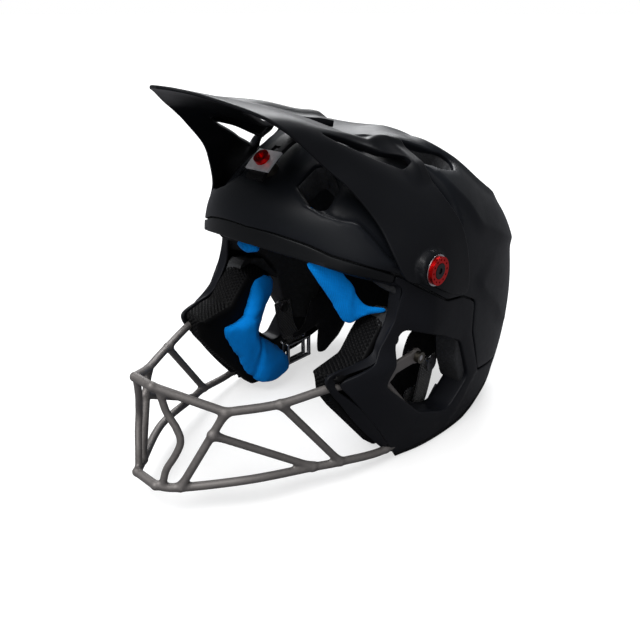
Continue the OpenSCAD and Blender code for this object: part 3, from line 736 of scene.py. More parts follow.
def webbing(name, col):
    m, nt, b = new_mat(name)
    v = coords(nt, rot=(0, 0, 0))
    w1 = nt.nodes.new('ShaderNodeTexWave'); w1.bands_direction = 'DIAGONAL'; w1.inputs['Scale'].default_value = 260
    w2 = nt.nodes.new('ShaderNodeTexWave'); w2.bands_direction = 'Y'; w2.inputs['Scale'].default_value = 330
    nt.links.new(v, w1.inputs['Vector']); nt.links.new(v, w2.inputs['Vector'])
    h = math2(nt, 'MULTIPLY', w1.outputs['Fac'], w2.outputs['Fac'])
    fz = noise(nt, v, 900, 4, 0.6)
    c = ramp(nt, h, [(0.0, rgb(tuple(k * 0.5 for k in col))), (0.8, rgb(tuple(k * 1.3 for k in col)))])
    nt.links.new(c, b.inputs['Base Color'])
    b.inputs['Roughness'].default_value = 0.8; b.inputs['Sheen Weight'].default_value = 0.3
    n1 = bump(nt, b, h, 0.7, 0.0006)
    bump(nt, b, fz, 0.25, 0.0003, n1)
    return m

def foamy(name, col, cell=320, rough=0.8):
    """Bead foam: pressed cells of slightly different tone."""
    m, nt, b = new_mat(name)
    v = coords(nt)
    vo = nt.nodes.new('ShaderNodeTexVoronoi'); vo.inputs['Scale'].default_value = cell
    nt.links.new(v, vo.inputs['Vector'])
    ve = nt.nodes.new('ShaderNodeTexVoronoi'); ve.feature = 'DISTANCE_TO_EDGE'; ve.inputs['Scale'].default_value = cell
    nt.links.new(v, ve.inputs['Vector'])
    edge = ramp(nt, ve.outputs['Distance'], [(0.0, g4(0.55)), (0.12, g4(1.0))])
    tone = nt.nodes.new('ShaderNodeSeparateColor'); nt.links.new(vo.outputs['Color'], tone.inputs[0])
    c = ramp(nt, tone.outputs[0], [(0.0, rgb(tuple(k * 0.75 for k in col))), (1.0, rgb(tuple(k * 1.2 for k in col)))])
    mm = nt.nodes.new('ShaderNodeMix'); mm.data_type = 'RGBA'; mm.blend_type = 'MULTIPLY'; mm.inputs[0].default_value = 1.0
    nt.links.new(c, mm.inputs[6]); nt.links.new(edge, mm.inputs[7])
    nt.links.new(mm.outputs[2], b.inputs['Base Color'])
    b.inputs['Roughness'].default_value = rough
    bump(nt, b, edge, 0.5, 0.0004)
    return m

M = {}
M['shell'] = plastic("shell_mat", lin((18, 20, 24)), rough=0.4, spec=0.13, grain=0.12, gscale=1900)
M['lower'] = plastic("lower_mat", lin((19, 20, 24)), rough=0.44, spec=0.11, grain=0.16, gscale=1700)
M['band'] = plastic("band_mat", lin((17, 18, 20)), rough=0.38, spec=0.13, grain=0.1, gscale=2100)
M['visor'] = plastic("visor_mat", lin((17, 18, 21)), rough=0.4, spec=0.14, grain=0.14, gscale=1800)
M['trim'] = plastic("rubber_mat", lin((14, 14, 15)), rough=0.62, spec=0.12, grain=0.4, gscale=1200)
M['foam'] = foamy("bead_foam_mat", lin((46, 47, 49)))
M['eps'] = foamy("liner_foam_mat", lin((38, 39, 42)))
M['blue'] = fabric("blue_cloth_mat", (0.0, 0.27, 0.88), sheen=0.03, tint=0.15)
# dark cloth of the nape pad and its wings; on the head liner the same dark cloth is painted shade
M['dark'] = fabric("dark_cloth_and_painted_shade_mat", lin((20, 20, 22)), weave=700, sheen=0.06)
M['cage'] = blasted("cage_mat", lin((118, 114, 112)))
M['steel'] = metal("steel_mat", lin((190, 190, 192)), 0.28)
M['screw'] = metal("anodised_mat", lin((205, 16, 18)), 0.3, grain=0.1)
M['bracket'] = metal("bracket_mat", lin((225, 225, 228)), 0.34, grain=0.2, metallic=0.45)
M['insert'] = metal("insert_mat", lin((96, 92, 84)), 0.4)
M['cap'] = plastic("cap_mat", lin((14, 14, 15)), rough=0.35, spec=0.25, grain=0.1)
M['bush'] = plastic("bush_mat", lin((205, 204, 196)), rough=0.5, grain=0.1)
M['webbing'] = webbing("webbing_mat", lin((26, 26, 28)))
M['ring'] = metal("ring_mat", lin((185, 186, 190)), 0.22, grain=0.08)
M['lattice'] = plastic("lattice_mat", lin((11, 11, 12)), rough=0.5, spec=0.07, grain=0.2, gscale=900)

# ---------------------------------------------------------------- shell panels
SH = ShellChart()
SUNK_FRONT = [(38, -57, 191), (52, -54, 185), (63, -48, 182), (70, -42, 181), (79, -38, 172), (86, -33, 161), (91, -26, 152)]

def side_poly(pts, r=3.0, step=0.5, out_step=1.6):
    Q = densify(fillet(pts, r), step)
    X = SH.fromside(Q)
    return X

def clean(X, step=1.6):
    """Resample a chart loop evenly but keep the vertices on the middle line on it."""
    on = SH.onedge(X)
    if on.any():
        k = int(np.argmax(on & ~np.roll(on, 1)))
        X = np.roll(X, -k, 0); on = np.roll(on, -k)
        m = len(X)
        # runs on and off
        cuts = [0] + [i for i in range(1, m) if on[i] != on[i - 1]] + [m]
        out = []
        for c0, c1 in zip(cuts[:-1], cuts[1:]):
            seg = X[c0:c1]
            if on[c0]:
                ang = np.unwrap(np.arctan2(seg[:, 1], seg[:, 0]))
                # extend to the true crossing
                n = max(2, int(abs(ang[-1] - ang[0]) * LQ / 1.9))
                A = np.linspace(ang[0], ang[-1], n + 1)
                out.append(np.stack([LQ * np.cos(A), LQ * np.sin(A)], -1))
            else:
                prev = X[c0 - 1]; nx = X[c1 % m]
                S = np.vstack([prev, seg, nx])
                R = resample(S, step, closed=False)
                R = lap(R, 2, closed=False)
                out.append(R[1:-1])
        return np.vstack(out)
    R = resample(X, step)
    return lap(R, 2)

def lap(P, it, closed=True):
    P = P.copy()
    for _ in range(it):
        if closed:
            P = 0.5 * P + 0.25 * (np.roll(P, 1, 0) + np.roll(P, -1, 0))
        else:
            P[1:-1] = 0.5 * P[1:-1] + 0.25 * (P[:-2] + P[2:])
    return P

SEAM = [[-300, 173], [-71, 173], [-64, 168.6], [-57.5, 163], [-50.5, 159.6], [-41, 155], [-28, 149.5], [-19, 145.5], [-11, 139], [0, 131.5], [14, 123],
        [34, 120], [52, 111], [53, 86], [71, 45], [110, 38], [140, 42], [300, 60], [300, 400], [-300, 400]]
BROW = [[-300, 172.2], [-71.3, 172.2], [-64.3, 167.8], [-57.8, 162.2], [-50.8, 158.8], [-41.3, 154.2], [-28.3, 148.7], [-24.6, 147.1],
        [-24.6, 141.2], [-27, 141.6], [-39, 146.1], [-50, 150.1], [-58, 154.1], [-66, 157.6], [-75, 162], [-300, 162]]
LOWER = [[-19.2, 135], [-20.5, 138.5], [-24.2, 140.8], [-24.2, 146.9], [-19.3, 144.7], [-11.4, 138.1], [-0.3, 130.7], [13.8, 122.2], [33.8, 119.4], [51.4, 110.6], [52.4, 86],
         [70.5, 44.4], [110, 37.4], [140, 41.4], [300, 59.4], [300, 42.7], [230, 34], [135, 22], [110, 14], [86, 6], [62, 0], [-13, 0],
         [-16, 4], [-71, 82], [-52, 88.5], [-45, 91], [-36, 101], [-26, 115], [-21.5, 128]]
EAR = [[-20, 108], [12, 96], [38, 82], [56, 46], [35, 26], [27, 26], [-1, 37], [-38, 72], [-30, 87]]
LOWER_R = [2, 2, 1, 1, 2] + [3] * 17 + [5, 4, 6, 6, 4, 4, 3]

def closed3(pts, step=1.6, r=4.0):
    """Chart loop through 3-D points on the surface."""
    X = SH.from3d(pts)
    return lap(resample(densify(fillet(X, r), 0.5), step), 2)

def open3(pts, step=1.6):
    X = SH.from3d(smooth_path(pts, 2.0))
    return resample(X, step, closed=False)

def plan_points(pts):
    out = []
    for x, y in pts:
        lo, hi = 110.0, 260.0
        for _ in range(40):
            mid = 0.5 * (lo + hi)
            if fimp(np.array([[x, y, mid]]))[0] > 0: hi = mid
            else: lo = mid
        out.append((x, y, lo))
    return out

sunk_poly = closed3(SUNK_FRONT + [(97, -8, 158), (98, 20, 160), (97, 35, 167), (93, 33, 184), (84, 27, 200), (70, 20, 213), (54, 12, 222), (36, 10, 229), (35, -24, 221), (35, -48, 205)], r=5)
vent_top = closed3([(48, 21, 224), (51, 31, 222), (57, 42, 218), (63, 60, 211), (69, 66, 206), (77, 56, 201), (78, 38, 205), (72, 23, 211), (60, 15, 218)], r=4)
vent_rear = closed3(plan_points([(18, 100), (30, 96), (40, 110), (36, 132), (23, 138)]), r=4)
vent_brow = closed3(plan_points([(26, -52), (40, -56), (51, -50), (49, -36), (36, -29), (28, -35)]), r=4)

fin_line = open3([(70, 30, 210), (86, 33, 197), (94, 47, 182), (99, 60, 166), (99.5, 76, 159), (97, 100, 147), (88, 122, 138), (70, 143, 130)])
top_line = open3([(40, 40, 226), (62, 64, 210), (75, 82, 193), (76, 104, 178), (68, 126, 160)])
spine_line = open3([(20, 10, 232), (25, 33, 229), (29, 70, 219), (28, 104, 203), (24, 138, 176), (20, 158, 145)])
low_line = open3([(105.5, 50, 132), (105, 69, 112), (103, 88, 97), (101, 102, 82), (94, 126, 66)])

def band_between(X, line, side_pt, w_hi, w_lo, hgt):
    """A fold: the surface rises towards the line on one side and falls away quickly on the other."""
    A = line[:-1]; B = line[1:]
    best = np.full(len(X), 1e9); sg = np.zeros(len(X)); tt = np.zeros(len(X)); tot = len(A)
    for i, (a, b) in enumerate(zip(A, B)):
        d = b - a; l2 = max(np.dot(d, d), 1e-12)
        t = np.clip(((X - a) @ d) / l2, 0, 1)
        q = X - a - t[:, None] * d
        dd = np.hypot(q[:, 0], q[:, 1])
        m = dd < best
        best[m] = dd[m]; tt[m] = ((i + t) / tot)[m]
        cs = d[0] * q[:, 1] - d[1] * q[:, 0]
        sg[m] = np.sign(cs)[m]
    k = len(A) // 2
    d = B[k] - A[k]; sp = SH.from3d([side_pt])[0] - A[k]
    ref = np.sign(d[0] * sp[1] - d[1] * sp[0])
    hi = (sg * ref) >= 0
    prof = np.where(hi, np.exp(-(best / w_hi) ** 1.2), np.exp(-(best / w_lo) ** 1.6))
    ends = smooth01(tt / 0.18) * smooth01((1 - tt) / 0.18)
    return hgt * prof * ends

def crown_height(X, P):
    h = -6.6 * smooth01(sdist(X, sunk_poly) / 5.0)
    h = h + band_between(X, fin_line, (90, 60, 185), 16, 5.0, 2.6)
    h = h + band_between(X, top_line, (40, 80, 212), 12, 4.0, 2.2)
    h = h + band_between(X, spine_line, (8, 70, 222), 11, 4.0, 1.8)
    h = h + band_between(X, low_line, (106, 60, 140), 14, 5.0, 1.8)
    # dished field behind the roof vents
    for v, dpt, w in ((vent_top, 1.2, 6.0), (vent_rear, 1.0, 5.0), (vent_brow, 0.8, 4.0)):
        h = h - dpt * smooth01(1 + sdist(X, v) / w)
    return h

def offs(P, d, closed=True):
    return P + loop_normals(ccw(P) if closed else P, closed) * d

def step_lines(P, ds, closed=True):
    Pc = ccw(P) if closed else P
    return [(Pc + loop_normals(Pc, closed) * d, closed) for d in ds]

lines = step_lines(sunk_poly, (0.0, -1.3, -2.6, -3.9, -5.2)) + [(fin_line, False), (top_line, False), (spine_line, False), (low_line, False)]
for ln in (fin_line, top_line, spine_line, low_line):
    lines += step_lines(ln, (-1.6, 1.6), False)
crown_o = clean(side_poly(SEAM, 4.0))
P, F = panel(SH, crown_o, [vent_top, vent_rear, vent_brow], depth=2.8, grid=2.6, er=0.9, gap=0.25, lines=lines, height=crown_height,
             rims=[roll(0.9, 2.8), [roll(1.4, 2.8, wall=11), roll(1.2, 2.8, wall=9), roll(1.2, 2.8, wall=8)]])
crown = make("crown_shell_skin", P, F, M['shell'], "helmet", ("crown_shell",))

brow_o = clean(side_poly(BROW, 2.0))
P, F = panel(SH, brow_o, [], depth=2.8, grid=2.2, er=0.9, gap=0.25)
make("brow_band_skin", P, F, M['band'], "helmet", ("brow_band",))

jaw_crease = open3([(104.5, 84, 52), (103, 61, 41), (97, 34, 4)])
def lower_height(X, P):
    h = band_between(X, jaw_crease, (105, 60, 70), 12, 3.0, 1.4)
    h = h - 0.9 * smooth01(1 + sdist(X, ear_o) / 7.0)
    return h
ear_o = lap(resample(densify(side_poly(EAR, 5.0), 0.5), 1.6), 2)
lower_o = clean(side_poly(LOWER, LOWER_R))
P, F = panel(SH, lower_o, [ear_o], depth=2.8, grid=2.4, er=0.9, gap=0.25, height=lower_height,
             lines=[(jaw_crease, False)] + step_lines(jaw_crease, (-1.6, 1.6), False) + step_lines(ear_o, (3.0, 5.5)),
             rims=[roll(0.9, 2.8), [roll(1.3, 2.8, wall=18, dx=18, inset=1.6)]])
make("lower_shell_skin", P, F, M['lower'], "helmet", ("lower_shell",))

# ---------------------------------------------------------------- visor
VC = VisorChart()
vo = [[0, 0], [LU, 0], [LU, LV], [0, LV]]
vo = densify(fillet(vo, [0, 9, 9, 0]), 1.7)
SLOT_A = np.array([[0.075, 0.62], [0.10, 0.50], [0.20, 0.50], [0.27, 0.62], [0.37, 0.80], [0.405, 0.92], [0.36, 0.945], [0.33, 1.06], [0.075, 1.06]]) * [LU, LV]
SLOT_B = np.array([[0.44, 0.30], [0.50, 0.36], [0.575, 0.52], [0.60, 0.70], [0.56, 0.86], [0.50, 0.66], [0.455, 0.45]]) * [LU, LV]
slot_a = lap(resample(densify(fillet(SLOT_A, 5), 0.6), 1.5), 2)
slot_b = lap(resample(densify(fillet(SLOT_B, 3), 0.6), 1.5), 2)
uu, vv = np.meshgrid(np.linspace(0.7, 1, 301), np.linspace(0, 1, 301)); uu = uu.ravel(); vv = vv.ravel()
_P = visor_pt(uu, vv)
_k = np.argmin((_P[:, 1] + 5) ** 2 + (_P[:, 2] - 150) ** 2)
pv = np.array([uu[_k] * LU, vv[_k] * LV])
# bore as a loop of chart points whose 3-D distance from the pivot is 6.3 mm
ringp = []
for th in np.linspace(0, 2 * np.pi, 40, endpoint=False):
    lo, hi = 0.0, 30.0
    for _ in range(24):
        mid = 0.5 * (lo + hi)
        X = pv + mid * np.array([math.cos(th), math.sin(th)])
        p = visor_pt(np.array([X[0] / LU]), np.array([X[1] / LV]))[0]
        if math.hypot(p[1] + 5, p[2] - 150) > 6.4: hi = mid
        else: lo = mid
    ringp.append(pv + lo * np.array([math.cos(th), math.sin(th)]))
bore = np.array(ringp)

def visor_height(X, P):
    x = np.abs(P[:, 0]); y = P[:, 1]
    env = smooth01((y + 105) / 60.0) * smooth01((10 - y) / 14.0)
    h = 4.5 * np.exp(-(x / 3.6) ** 2) * env
    # seat of the side screw
    r = np.hypot(P[:, 1] + 5, P[:, 2] - 150)
    k = smooth01((13.6 - r) / 3.0) * (P[:, 0] > 88)
    h = h + (106.6 - P[:, 0]) * k
    # stiffening ridge from the arm down to the wing
    u = X[:, 0] / LU; v = X[:, 1] / LV
    # the rear edge stands clear of the crown
    h = h + smooth01((v - 0.66) / 0.2) * (5.5 * smooth01((x - 34) / 10) * smooth01((86 - x) / 12) + 1.5 * smooth01((24 - x) / 8))
    h = h + 2.2 * np.exp(-((u - 0.415) / 0.035) ** 2) * smooth01((v - 0.3) / 0.3) * smooth01((u - 0.36) / 0.03)
    return h
vlines = [(np.stack([np.full(60, w / 200 * LU), np.linspace(1, LV - 1, 60)], -1), False) for w in (2.5, 5.0, 8.0)]
vlines += step_lines(bore, (5.4, 6.4, 7.4))
P, F = panel(VC, vo, [slot_a, slot_b, bore], depth=2.0, grid=2.3, er=0.9, gap=0.0, height=visor_height, lines=vlines,
             rims=[roll(0.9, 2.0), [roll(0.9, 2.0, wall=4.5, inset=1.2), roll(0.9, 2.0, wall=4.5, inset=1.2), roll(0.3, 2.0)]])
make("visor_skin", P, F, M['visor'], "visor_assembly", ("visor",))

# ---------------------------------------------------------------- face cage
C_top = (9, -163, 92.5); C_low = (10.5, -169.5, 22); S2_top = (42, -133, 74); S2_low = (21.5, -158, 19.5)
S4_top = (60, -103, 74); S4_low = (75.5, -61.5, 14.5); J_top = (75.5, -67.5, 77.5); J_low = (86, -22.5, 10)
K_top = (88.5, -34, 74); K_low = (91, 10, 20); L_mid = (49, -122.5, 20); S3_top = (36.5, -141, 58.5); S3_low = (67.5, -80, 16.2)
S1 = [(12, -160.3, 91), (15, -158.5, 75), (20.5, -156, 64), (23, -155.5, 54.5), (20.5, -159, 44.5), (15.5, -163.5, 33.5), (13.5, -166.3, 21.5)]
R0 = 3.1
def seg(a, b, r=R0, bow=None):
    pts = [a, b] if bow is None else [a, bow, b]
    return tube_mesh(smooth_path(pts, 2.5), r, 18)
cage = []
cage.append(tube_mesh(np.array([C_top, S2_top]), R0, 18)); cage.append(tube_mesh(smooth_path([S2_top, S4_top, J_top, K_top], 2.5), R0, 18))
cage.append(tube_mesh(smooth_path([C_low, S2_low, L_mid, S3_low, S4_low, J_low, K_low], 2.5), R0, 18))
cage.append(seg(K_top, K_low)); cage.append(tube_mesh(smooth_path(S1, 2.5), 2.6, 18))
cage.append(seg(S2_top, S2_low, 2.9)); cage.append(seg(S3_top, S3_low, 2.8)); cage.append(seg(S4_top, S4_low, 2.9))
def flare(p, q, r0, r1, reach=7.0):
    """Weld fillet: the strut widens into the rail that it meets."""
    p = np.array(p, float); d = np.array(q, float) - p; d /= np.linalg.norm(d)
    ts = np.linspace(0, 1, 6)
    A = np.array([p + d * reach * t for t in ts])
    up = np.cross(d, [1, 0, 0]); up /= np.linalg.norm(up); si = np.cross(up, d)
    th = np.linspace(0, 2 * np.pi, 18, endpoint=False); P = []
    for c, t in zip(A, ts):
        r = r1 + (r0 - r1) * (1 - t) ** 2
        P += [c + r * (math.cos(a) * up + math.sin(a) * si) for a in th]
    F = []
    for k in range(5):
        for i in range(18):
            j = (i + 1) % 18
            F.append((k * 18 + i, k * 18 + j, (k + 1) * 18 + j, (k + 1) * 18 + i))
    F.append(tuple(range(17, -1, -1))); F.append(tuple(5 * 18 + i for i in range(18)))
    return np.array(P), F
for a_, b_ in ((S2_top, S2_low), (S2_low, S2_top), (S3_top, S3_low), (S3_low, S3_top), (S4_top, S4_low), (S4_low, S4_top)):
    cage.append(flare(a_, b_, 4.3, 2.9, 9.0))
def ball(p, r):
    bm = bmesh.new(); bmesh.ops.create_icosphere(bm, subdivisions=3, radius=r)
    P = np.array([tuple(v.co) for v in bm.verts]) + np.array(p); F = [tuple(v.index for v in f.verts) for f in bm.faces]; bm.free()
    return P, F
for p in (C_top, C_low, S2_top, S2_low, S4_top, S4_low, J_top, J_low, K_top, K_low, S3_top, S3_low):
    cage.append(ball(p, R0 + 0.5))
def cyl(p, axis, r, h, seg=40):
    p = np.array(p, float); ax = np.array(axis, float); ax /= np.linalg.norm(ax)
    return tube_mesh(np.array([p - ax * h / 2, p + ax * h / 2]), r, seg)
cage.append(cyl((91.5, -31, 80), (1, 0, 0), 8, 3)); cage.append(cyl((91.5, 0, 80.5), (1, 0, 0), 6, 3)); cage.append(cyl((91.5, 14, 14), (1, 0, 0), 6, 3))
bx = np.array([[x, y, z] for x in (90, 93) for y in (-31, 0) for z in (76, 85)], float)
cage.append((bx, [(0, 1, 3, 2), (4, 6, 7, 5), (0, 4, 5, 1), (2, 3, 7, 6), (0, 2, 6, 4), (1, 5, 7, 3)]))
left = joinm(cage)
allp = [left, mirrored(*left), tube_mesh(np.array([[9, -163, 92.5], [-9, -163, 92.5]]), R0, 18), tube_mesh(np.array([[10.5, -169.5, 22], [-10.5, -169.5, 22]]), R0, 18)]
P, F = joinm(allp)
ob = make("face_cage_tubes", P, F, M['cage'], "helmet", ("face_cage",), merge=False)
remesh(ob, 1.0, 6, 0.6)
for p in ob.data.polygons: p.use_smooth = True

# ---------------------------------------------------------------- liner foam, smooth and moulded
FOAMZ = [[-80, 176], [-66, 166], [-50, 154], [-36, 142], [-22, 132], [-14, 121], [18, 112], [34, 92], [40, 60], [52, 38], [90, 26], [130, 32], [200, 50], [260, 70], [260, 300], [-80, 300]]
foam_o = clean(side_poly(FOAMZ, 5.0))
def foam_height(X, P):
    return -3.5 - 6.6 * smooth01(sdist(X, sunk_poly) / 5.0)
P, F = panel(SH, foam_o, [offs(v, -1.0) for v in (vent_top, vent_rear, vent_brow)], depth=18.5, grid=3.4, er=2.0, gap=0.0, height=foam_height,
             rims=[roll(2.0, 18.5), [roll(1.5, 18.5)] * 3])
make("eps_liner_foam", P, F, M['eps'], "helmet", ("eps_liner",))

# ---------------------------------------------------------------- edge of the eye port and jaw
def on_shell(pts):
    X = SH.fromside(pts)
    return SH.to3d(X)
port_side = np.array([[-75.4, 162], [-66, 157.5], [-58, 154], [-50, 150], [-39, 146], [-27, 141.5], [-20.5, 137.5], [-21.5, 128], [-26, 115], [-36, 101], [-45.5, 91.5], [-71, 82], [-52, 55.6], [-34, 29.8], [-17, 5.6]])
po, pn = on_shell(port_side)
po[0, 0] = 0
lip = np.array([[0, -70.8, 161.2], [44, -62, 157], [60, -55, 153], [68, -47, 149], [74, -38, 145], [83, -27, 140.5], [82.5, -21.5, 136], [82, -22, 128], [82, -24, 116],
                [82, -33, 102], [82.5, -43, 92.5], [76.4, -77, 87], [77.5, -62, 60], [80.5, -42, 32], [84.5, -20.5, 6.5]])
lip[1:6, 0] = po[1:6, 0] - 2.6
def smooth_multi(P, n):
    P = np.array(P, float); m = len(P) - 1
    E = np.vstack([2 * P[0] - P[1], P, 2 * P[m] - P[m - 1]])
    out = []
    for i in range(m):
        for k in range(n):
            out.append(cr(E[i], E[i + 1], E[i + 2], E[i + 3], k / n))
    out.append(P[m]); return np.array(out)
mirror0 = lambda Q: np.vstack([Q[1] * [-1, 1, 1], Q])
SA = smooth_multi(mirror0(po - pn * 0.4), 9)[9:]
SB = smooth_multi(mirror0(lip), 9)[9:]
SA[0, 0] = 0; SB[0, 0] = 0
tg = np.gradient(SA, axis=0); tg /= np.linalg.norm(tg, axis=1, keepdims=True)
dv = SB - SA; wd = np.linalg.norm(dv, axis=1, keepdims=True); dv = dv / wd
bk = np.cross(tg, dv); bk /= np.linalg.norm(bk, axis=1, keepdims=True)
bk *= np.sign(bk[:, 1:2] + 1e-9)           # towards the back
bk[0, 0] = 0; dv[0, 0] = 0
prof = []
P = []
th = 2.4
for i in range(len(SA)):
    a, b, d, w_ = SA[i], SB[i], dv[i], bk[i]
    sec = [a + d * 0.2 + w_ * 0.2, a + d * 0.8, b - d * 1.9, b - d * 1.2 - w_ * 0.5, b - d * 0.5 - w_ * 0.55, b - w_ * 0.15, b + d * 0.1 + w_ * 0.7,
           b - d * 0.1 + w_ * 1.7, b - d * 0.9 + w_ * th, b - d * 2.0 + w_ * th, a + d * 1.6 + w_ * th, a + d * 0.4 + w_ * th]
    P += sec
m = 12; n = len(SA); F = []
for i in range(n - 1):
    for k in range(m):
        l = (k + 1) % m
        F.append((i * m + k, i * m + l, (i + 1) * m + l, (i + 1) * m + k))
F.append(tuple((n - 1) * m + k for k in range(m)))
P = np.array(P); P[:m, 0] = 0
half = (P, F)
# orientation: away from the middle of the section
c0 = P[m * 20:m * 21].mean(0); f0 = P[list(F[20 * m + 2])]; nn = np.cross(f0[1] - f0[0], f0[2] - f0[0])
if np.dot(nn, f0.mean(0) - c0) < 0: half = (P, [tuple(f)[::-1] for f in F])
P, F = joinm([half, mirrored(*half)])
make("port_trim_strip", P, F, M['lower'], "helmet", ("port_trim",), sharp=50)

# ---------------------------------------------------------------- rubber round the neck
rim_side = np.array([[-13, 0], [10, 0], [36, 0], [60, 0], [72, 1.8], [86, 6], [110, 14], [135, 22], [150, 24.2], [165, 26]])
ro, rn = on_shell(rim_side)
Xend = SH.fromside(densify(np.array([[165, 26], [172, 27.2], [230, 34]]), 1.0))
rp, rn2 = SH.to3d(Xend)
path = np.vstack([smooth_multi(ro, 8), rp[3::3]])
path = path[np.concatenate([[True], np.linalg.norm(np.diff(path, axis=0), axis=1) > 0.4])]
k0 = np.where(path[:, 0] < 1.0)[0]
if len(k0): path = path[:k0[0]]
last = path[-1].copy(); last[0] = 0; path = np.vstack([path, [0, last[1] + 0.3, last[2] + 0.05]])
nrm_ = surf_normal(path); nrm_[-1, 0] = 0; nrm_ /= np.linalg.norm(nrm_, axis=1, keepdims=True)
tg = np.gradient(path, axis=0); tg /= np.linalg.norm(tg, axis=1, keepdims=True); tg[-1] = [-1, 0, 0]
dn = np.cross(tg, nrm_); dn /= np.linalg.norm(dn, axis=1, keepdims=True); dn *= -np.sign(dn[:, 2:3])
# section: bead that wraps the shell edge; a is outward, b is down
sec = [(0.5, -2.6), (0.75, -1.6), (0.8, -0.6), (0.4, 0.0), (-0.8, 0.0), (-3.0, 0.0), (-5.0, 0.0), (-5.8, -0.5), (-6.1, -1.6), (-6.0, -3.0), (-5.4, -4.2), (-4.4, -4.6), (-3.4, -4.4), (-3.1, -3.3), (-2.8, -3.0), (0.1, -3.0)]
P, F = sweep(path, sec, up=(nrm_, dn))
F = F[:-1]
P[-len(sec):, 0] = 0
m = len(sec); c0 = P[m * 10:m * 11].mean(0); f0 = P[list(F[10 * m + 4])]; nn = np.cross(f0[1] - f0[0], f0[2] - f0[0])
if np.dot(nn, f0.mean(0) - c0) < 0: F = [tuple(f)[::-1] for f in F]
P2, F2 = joinm([(P, F), mirrored(P, F)])
make("neck_trim_bead", P2, F2, M['trim'], "helmet", ("neck_trim",), sharp=50)

# ---------------------------------------------------------------- cheek pads
BODY = np.array([[-74, 86.5], [-45, 91], [-34, 103], [-24, 112], [-4, 109], [4, 104], [5, 92], [-3, 78], [-14, 58], [8, 38], [16, 25], [17, 7], [-3, 4], [-20, 6], [-62, 56], [-72, 70]], float)
def tri_fill(loop):
    n = len(loop)
    r = delaunay_2d_cdt([Vector(v) for v in loop], [(i, (i + 1) % n) for i in range(n)], [], 0, 1e-6, True)
    V = np.array([tuple(v) for v in r[0]]); F = np.array([list(f) for f in r[2]], int)
    cen = V[F].mean(1); F = F[inpoly(cen, loop)]
    # same vertex order as the loop
    idx = [r[3][i][0] if len(r[3][i]) else -1 for i in range(len(V))]
    return V, F, idx

def lattice_pad(side):
    O = ccw(lap(resample(densify(fillet(BODY, 5.0), 0.4), 0.62), 3))
    nrm = loop_normals(O)
    n = len(O)
    L = np.concatenate([[0], np.cumsum(np.linalg.norm(np.diff(O, axis=0), axis=1))])
    # how far out each part of the rim reaches: wide under the port edge, narrow elsewhere
    top = smooth01((O[:, 1] - 80) / 8.0) * smooth01((6 - O[:, 0]) / 10.0)
    xr = 74 + 7.5 * top * smooth01((O[:, 0] + 84) / 14)
    xl = 60.8 - 4.5 * top
    cols = 46
    er = 3.0
    rows = []
    tt = np.linspace(0, 1, cols)
    for k in range(cols):
        x = xl + (xr - xl) * tt[k]
        e = np.minimum(x - xl, xr - x)
        drop = np.where(e < er, er - np.sqrt(np.maximum(er ** 2 - (er - e) ** 2, 0)), 0)
        bulge = 1.8 * np.sin(np.pi * tt[k]) * top - 3.2 * (1 - tt[k]) ** 2 * top
        # raised diamond mesh
        p = 3.3
        a = (L + x * 0.78) / p; b = (L - x * 0.78) / p
        ca = np.abs(a - np.round(a)); cb = np.abs(b - np.round(b))
        rib = np.minimum(ca, cb)
        hole = smooth01((rib - 0.13) / 0.14)
        fr = np.maximum(top, smooth01((-8 - O[:, 0]) / 12))
        inside = smooth01((e - 1.6) / 1.5)
        off = -drop + bulge - 1.6 * hole * fr * inside
        q = O + nrm * off[:, None]
        rows.append(np.stack([x, q[:, 0], q[:, 1]], -1))
    P = np.vstack(rows); F = []
    for k in range(cols - 1):
        for i in range(n):
            j = (i + 1) % n
            F.append((k * n + i, k * n + j, (k + 1) * n + j, (k + 1) * n + i))
    b = len(P)
    V, T, idx = tri_fill(O)
    for k, flip in ((0, True), (cols - 1, False)):
        mp = [k * n + i for i in idx]
        for f in T:
            if min(idx[f[0]], idx[f[1]], idx[f[2]]) < 0: continue
            a3 = O[idx[f[0]]], O[idx[f[1]]], O[idx[f[2]]]
            s = (a3[1][0] - a3[0][0]) * (a3[2][1] - a3[0][1]) - (a3[2][0] - a3[0][0]) * (a3[1][1] - a3[0][1])
            g = tuple(mp[i] for i in f)
            if s < 0: g = g[::-1]
            F.append(g[::-1] if flip else g)
    if side < 0: P, F = mirrored(P, F)
    name = "cheek_pad_left" if side > 0 else "cheek_pad_right"
    ob = make(name + "_mesh", P, F, M['lattice'], "helmet", (name,))
    return ob
lattice_pad(1); lattice_pad(-1)

# ---------------------------------------------------------------- sewn cushions
def swell(ob, pressure=4.0, cap=4.0, frames=20, shrink=0.0, stiff=15.0):
    """Cloth under inner pressure, applied; a point moves cap millimetres at most."""
    base = np.array([tuple(v.co) for v in ob.data.vertices])
    m = ob.modifiers.new("cloth", 'CLOTH'); s = m.settings
    s.quality = 5; s.mass = 0.3; s.tension_stiffness = stiff; s.compression_stiffness = stiff; s.bending_stiffness = 0.6
    s.use_pressure = True; s.uniform_pressure_force = pressure; s.effector_weights.gravity = 0.0; s.shrink_min = shrink
    m.point_cache.frame_start = 1; m.point_cache.frame_end = frames
    for f in range(1, frames + 1): scene.frame_set(f)
    dg = bpy.context.evaluated_depsgraph_get()
    ev = ob.evaluated_get(dg); me = ev.to_mesh()
    new = np.array([tuple(v.co) for v in me.vertices]); ev.to_mesh_clear()
    ob.modifiers.clear()
    d = new - base; l = np.linalg.norm(d, axis=1, keepdims=True)
    c = cap * MM
    d = np.where(l > c, d / np.maximum(l, 1e-9) * (c + 0.0 * l), d)
    new = base + d
    for v, co in zip(ob.data.vertices, new): v.co = co
    scene.frame_set(1)

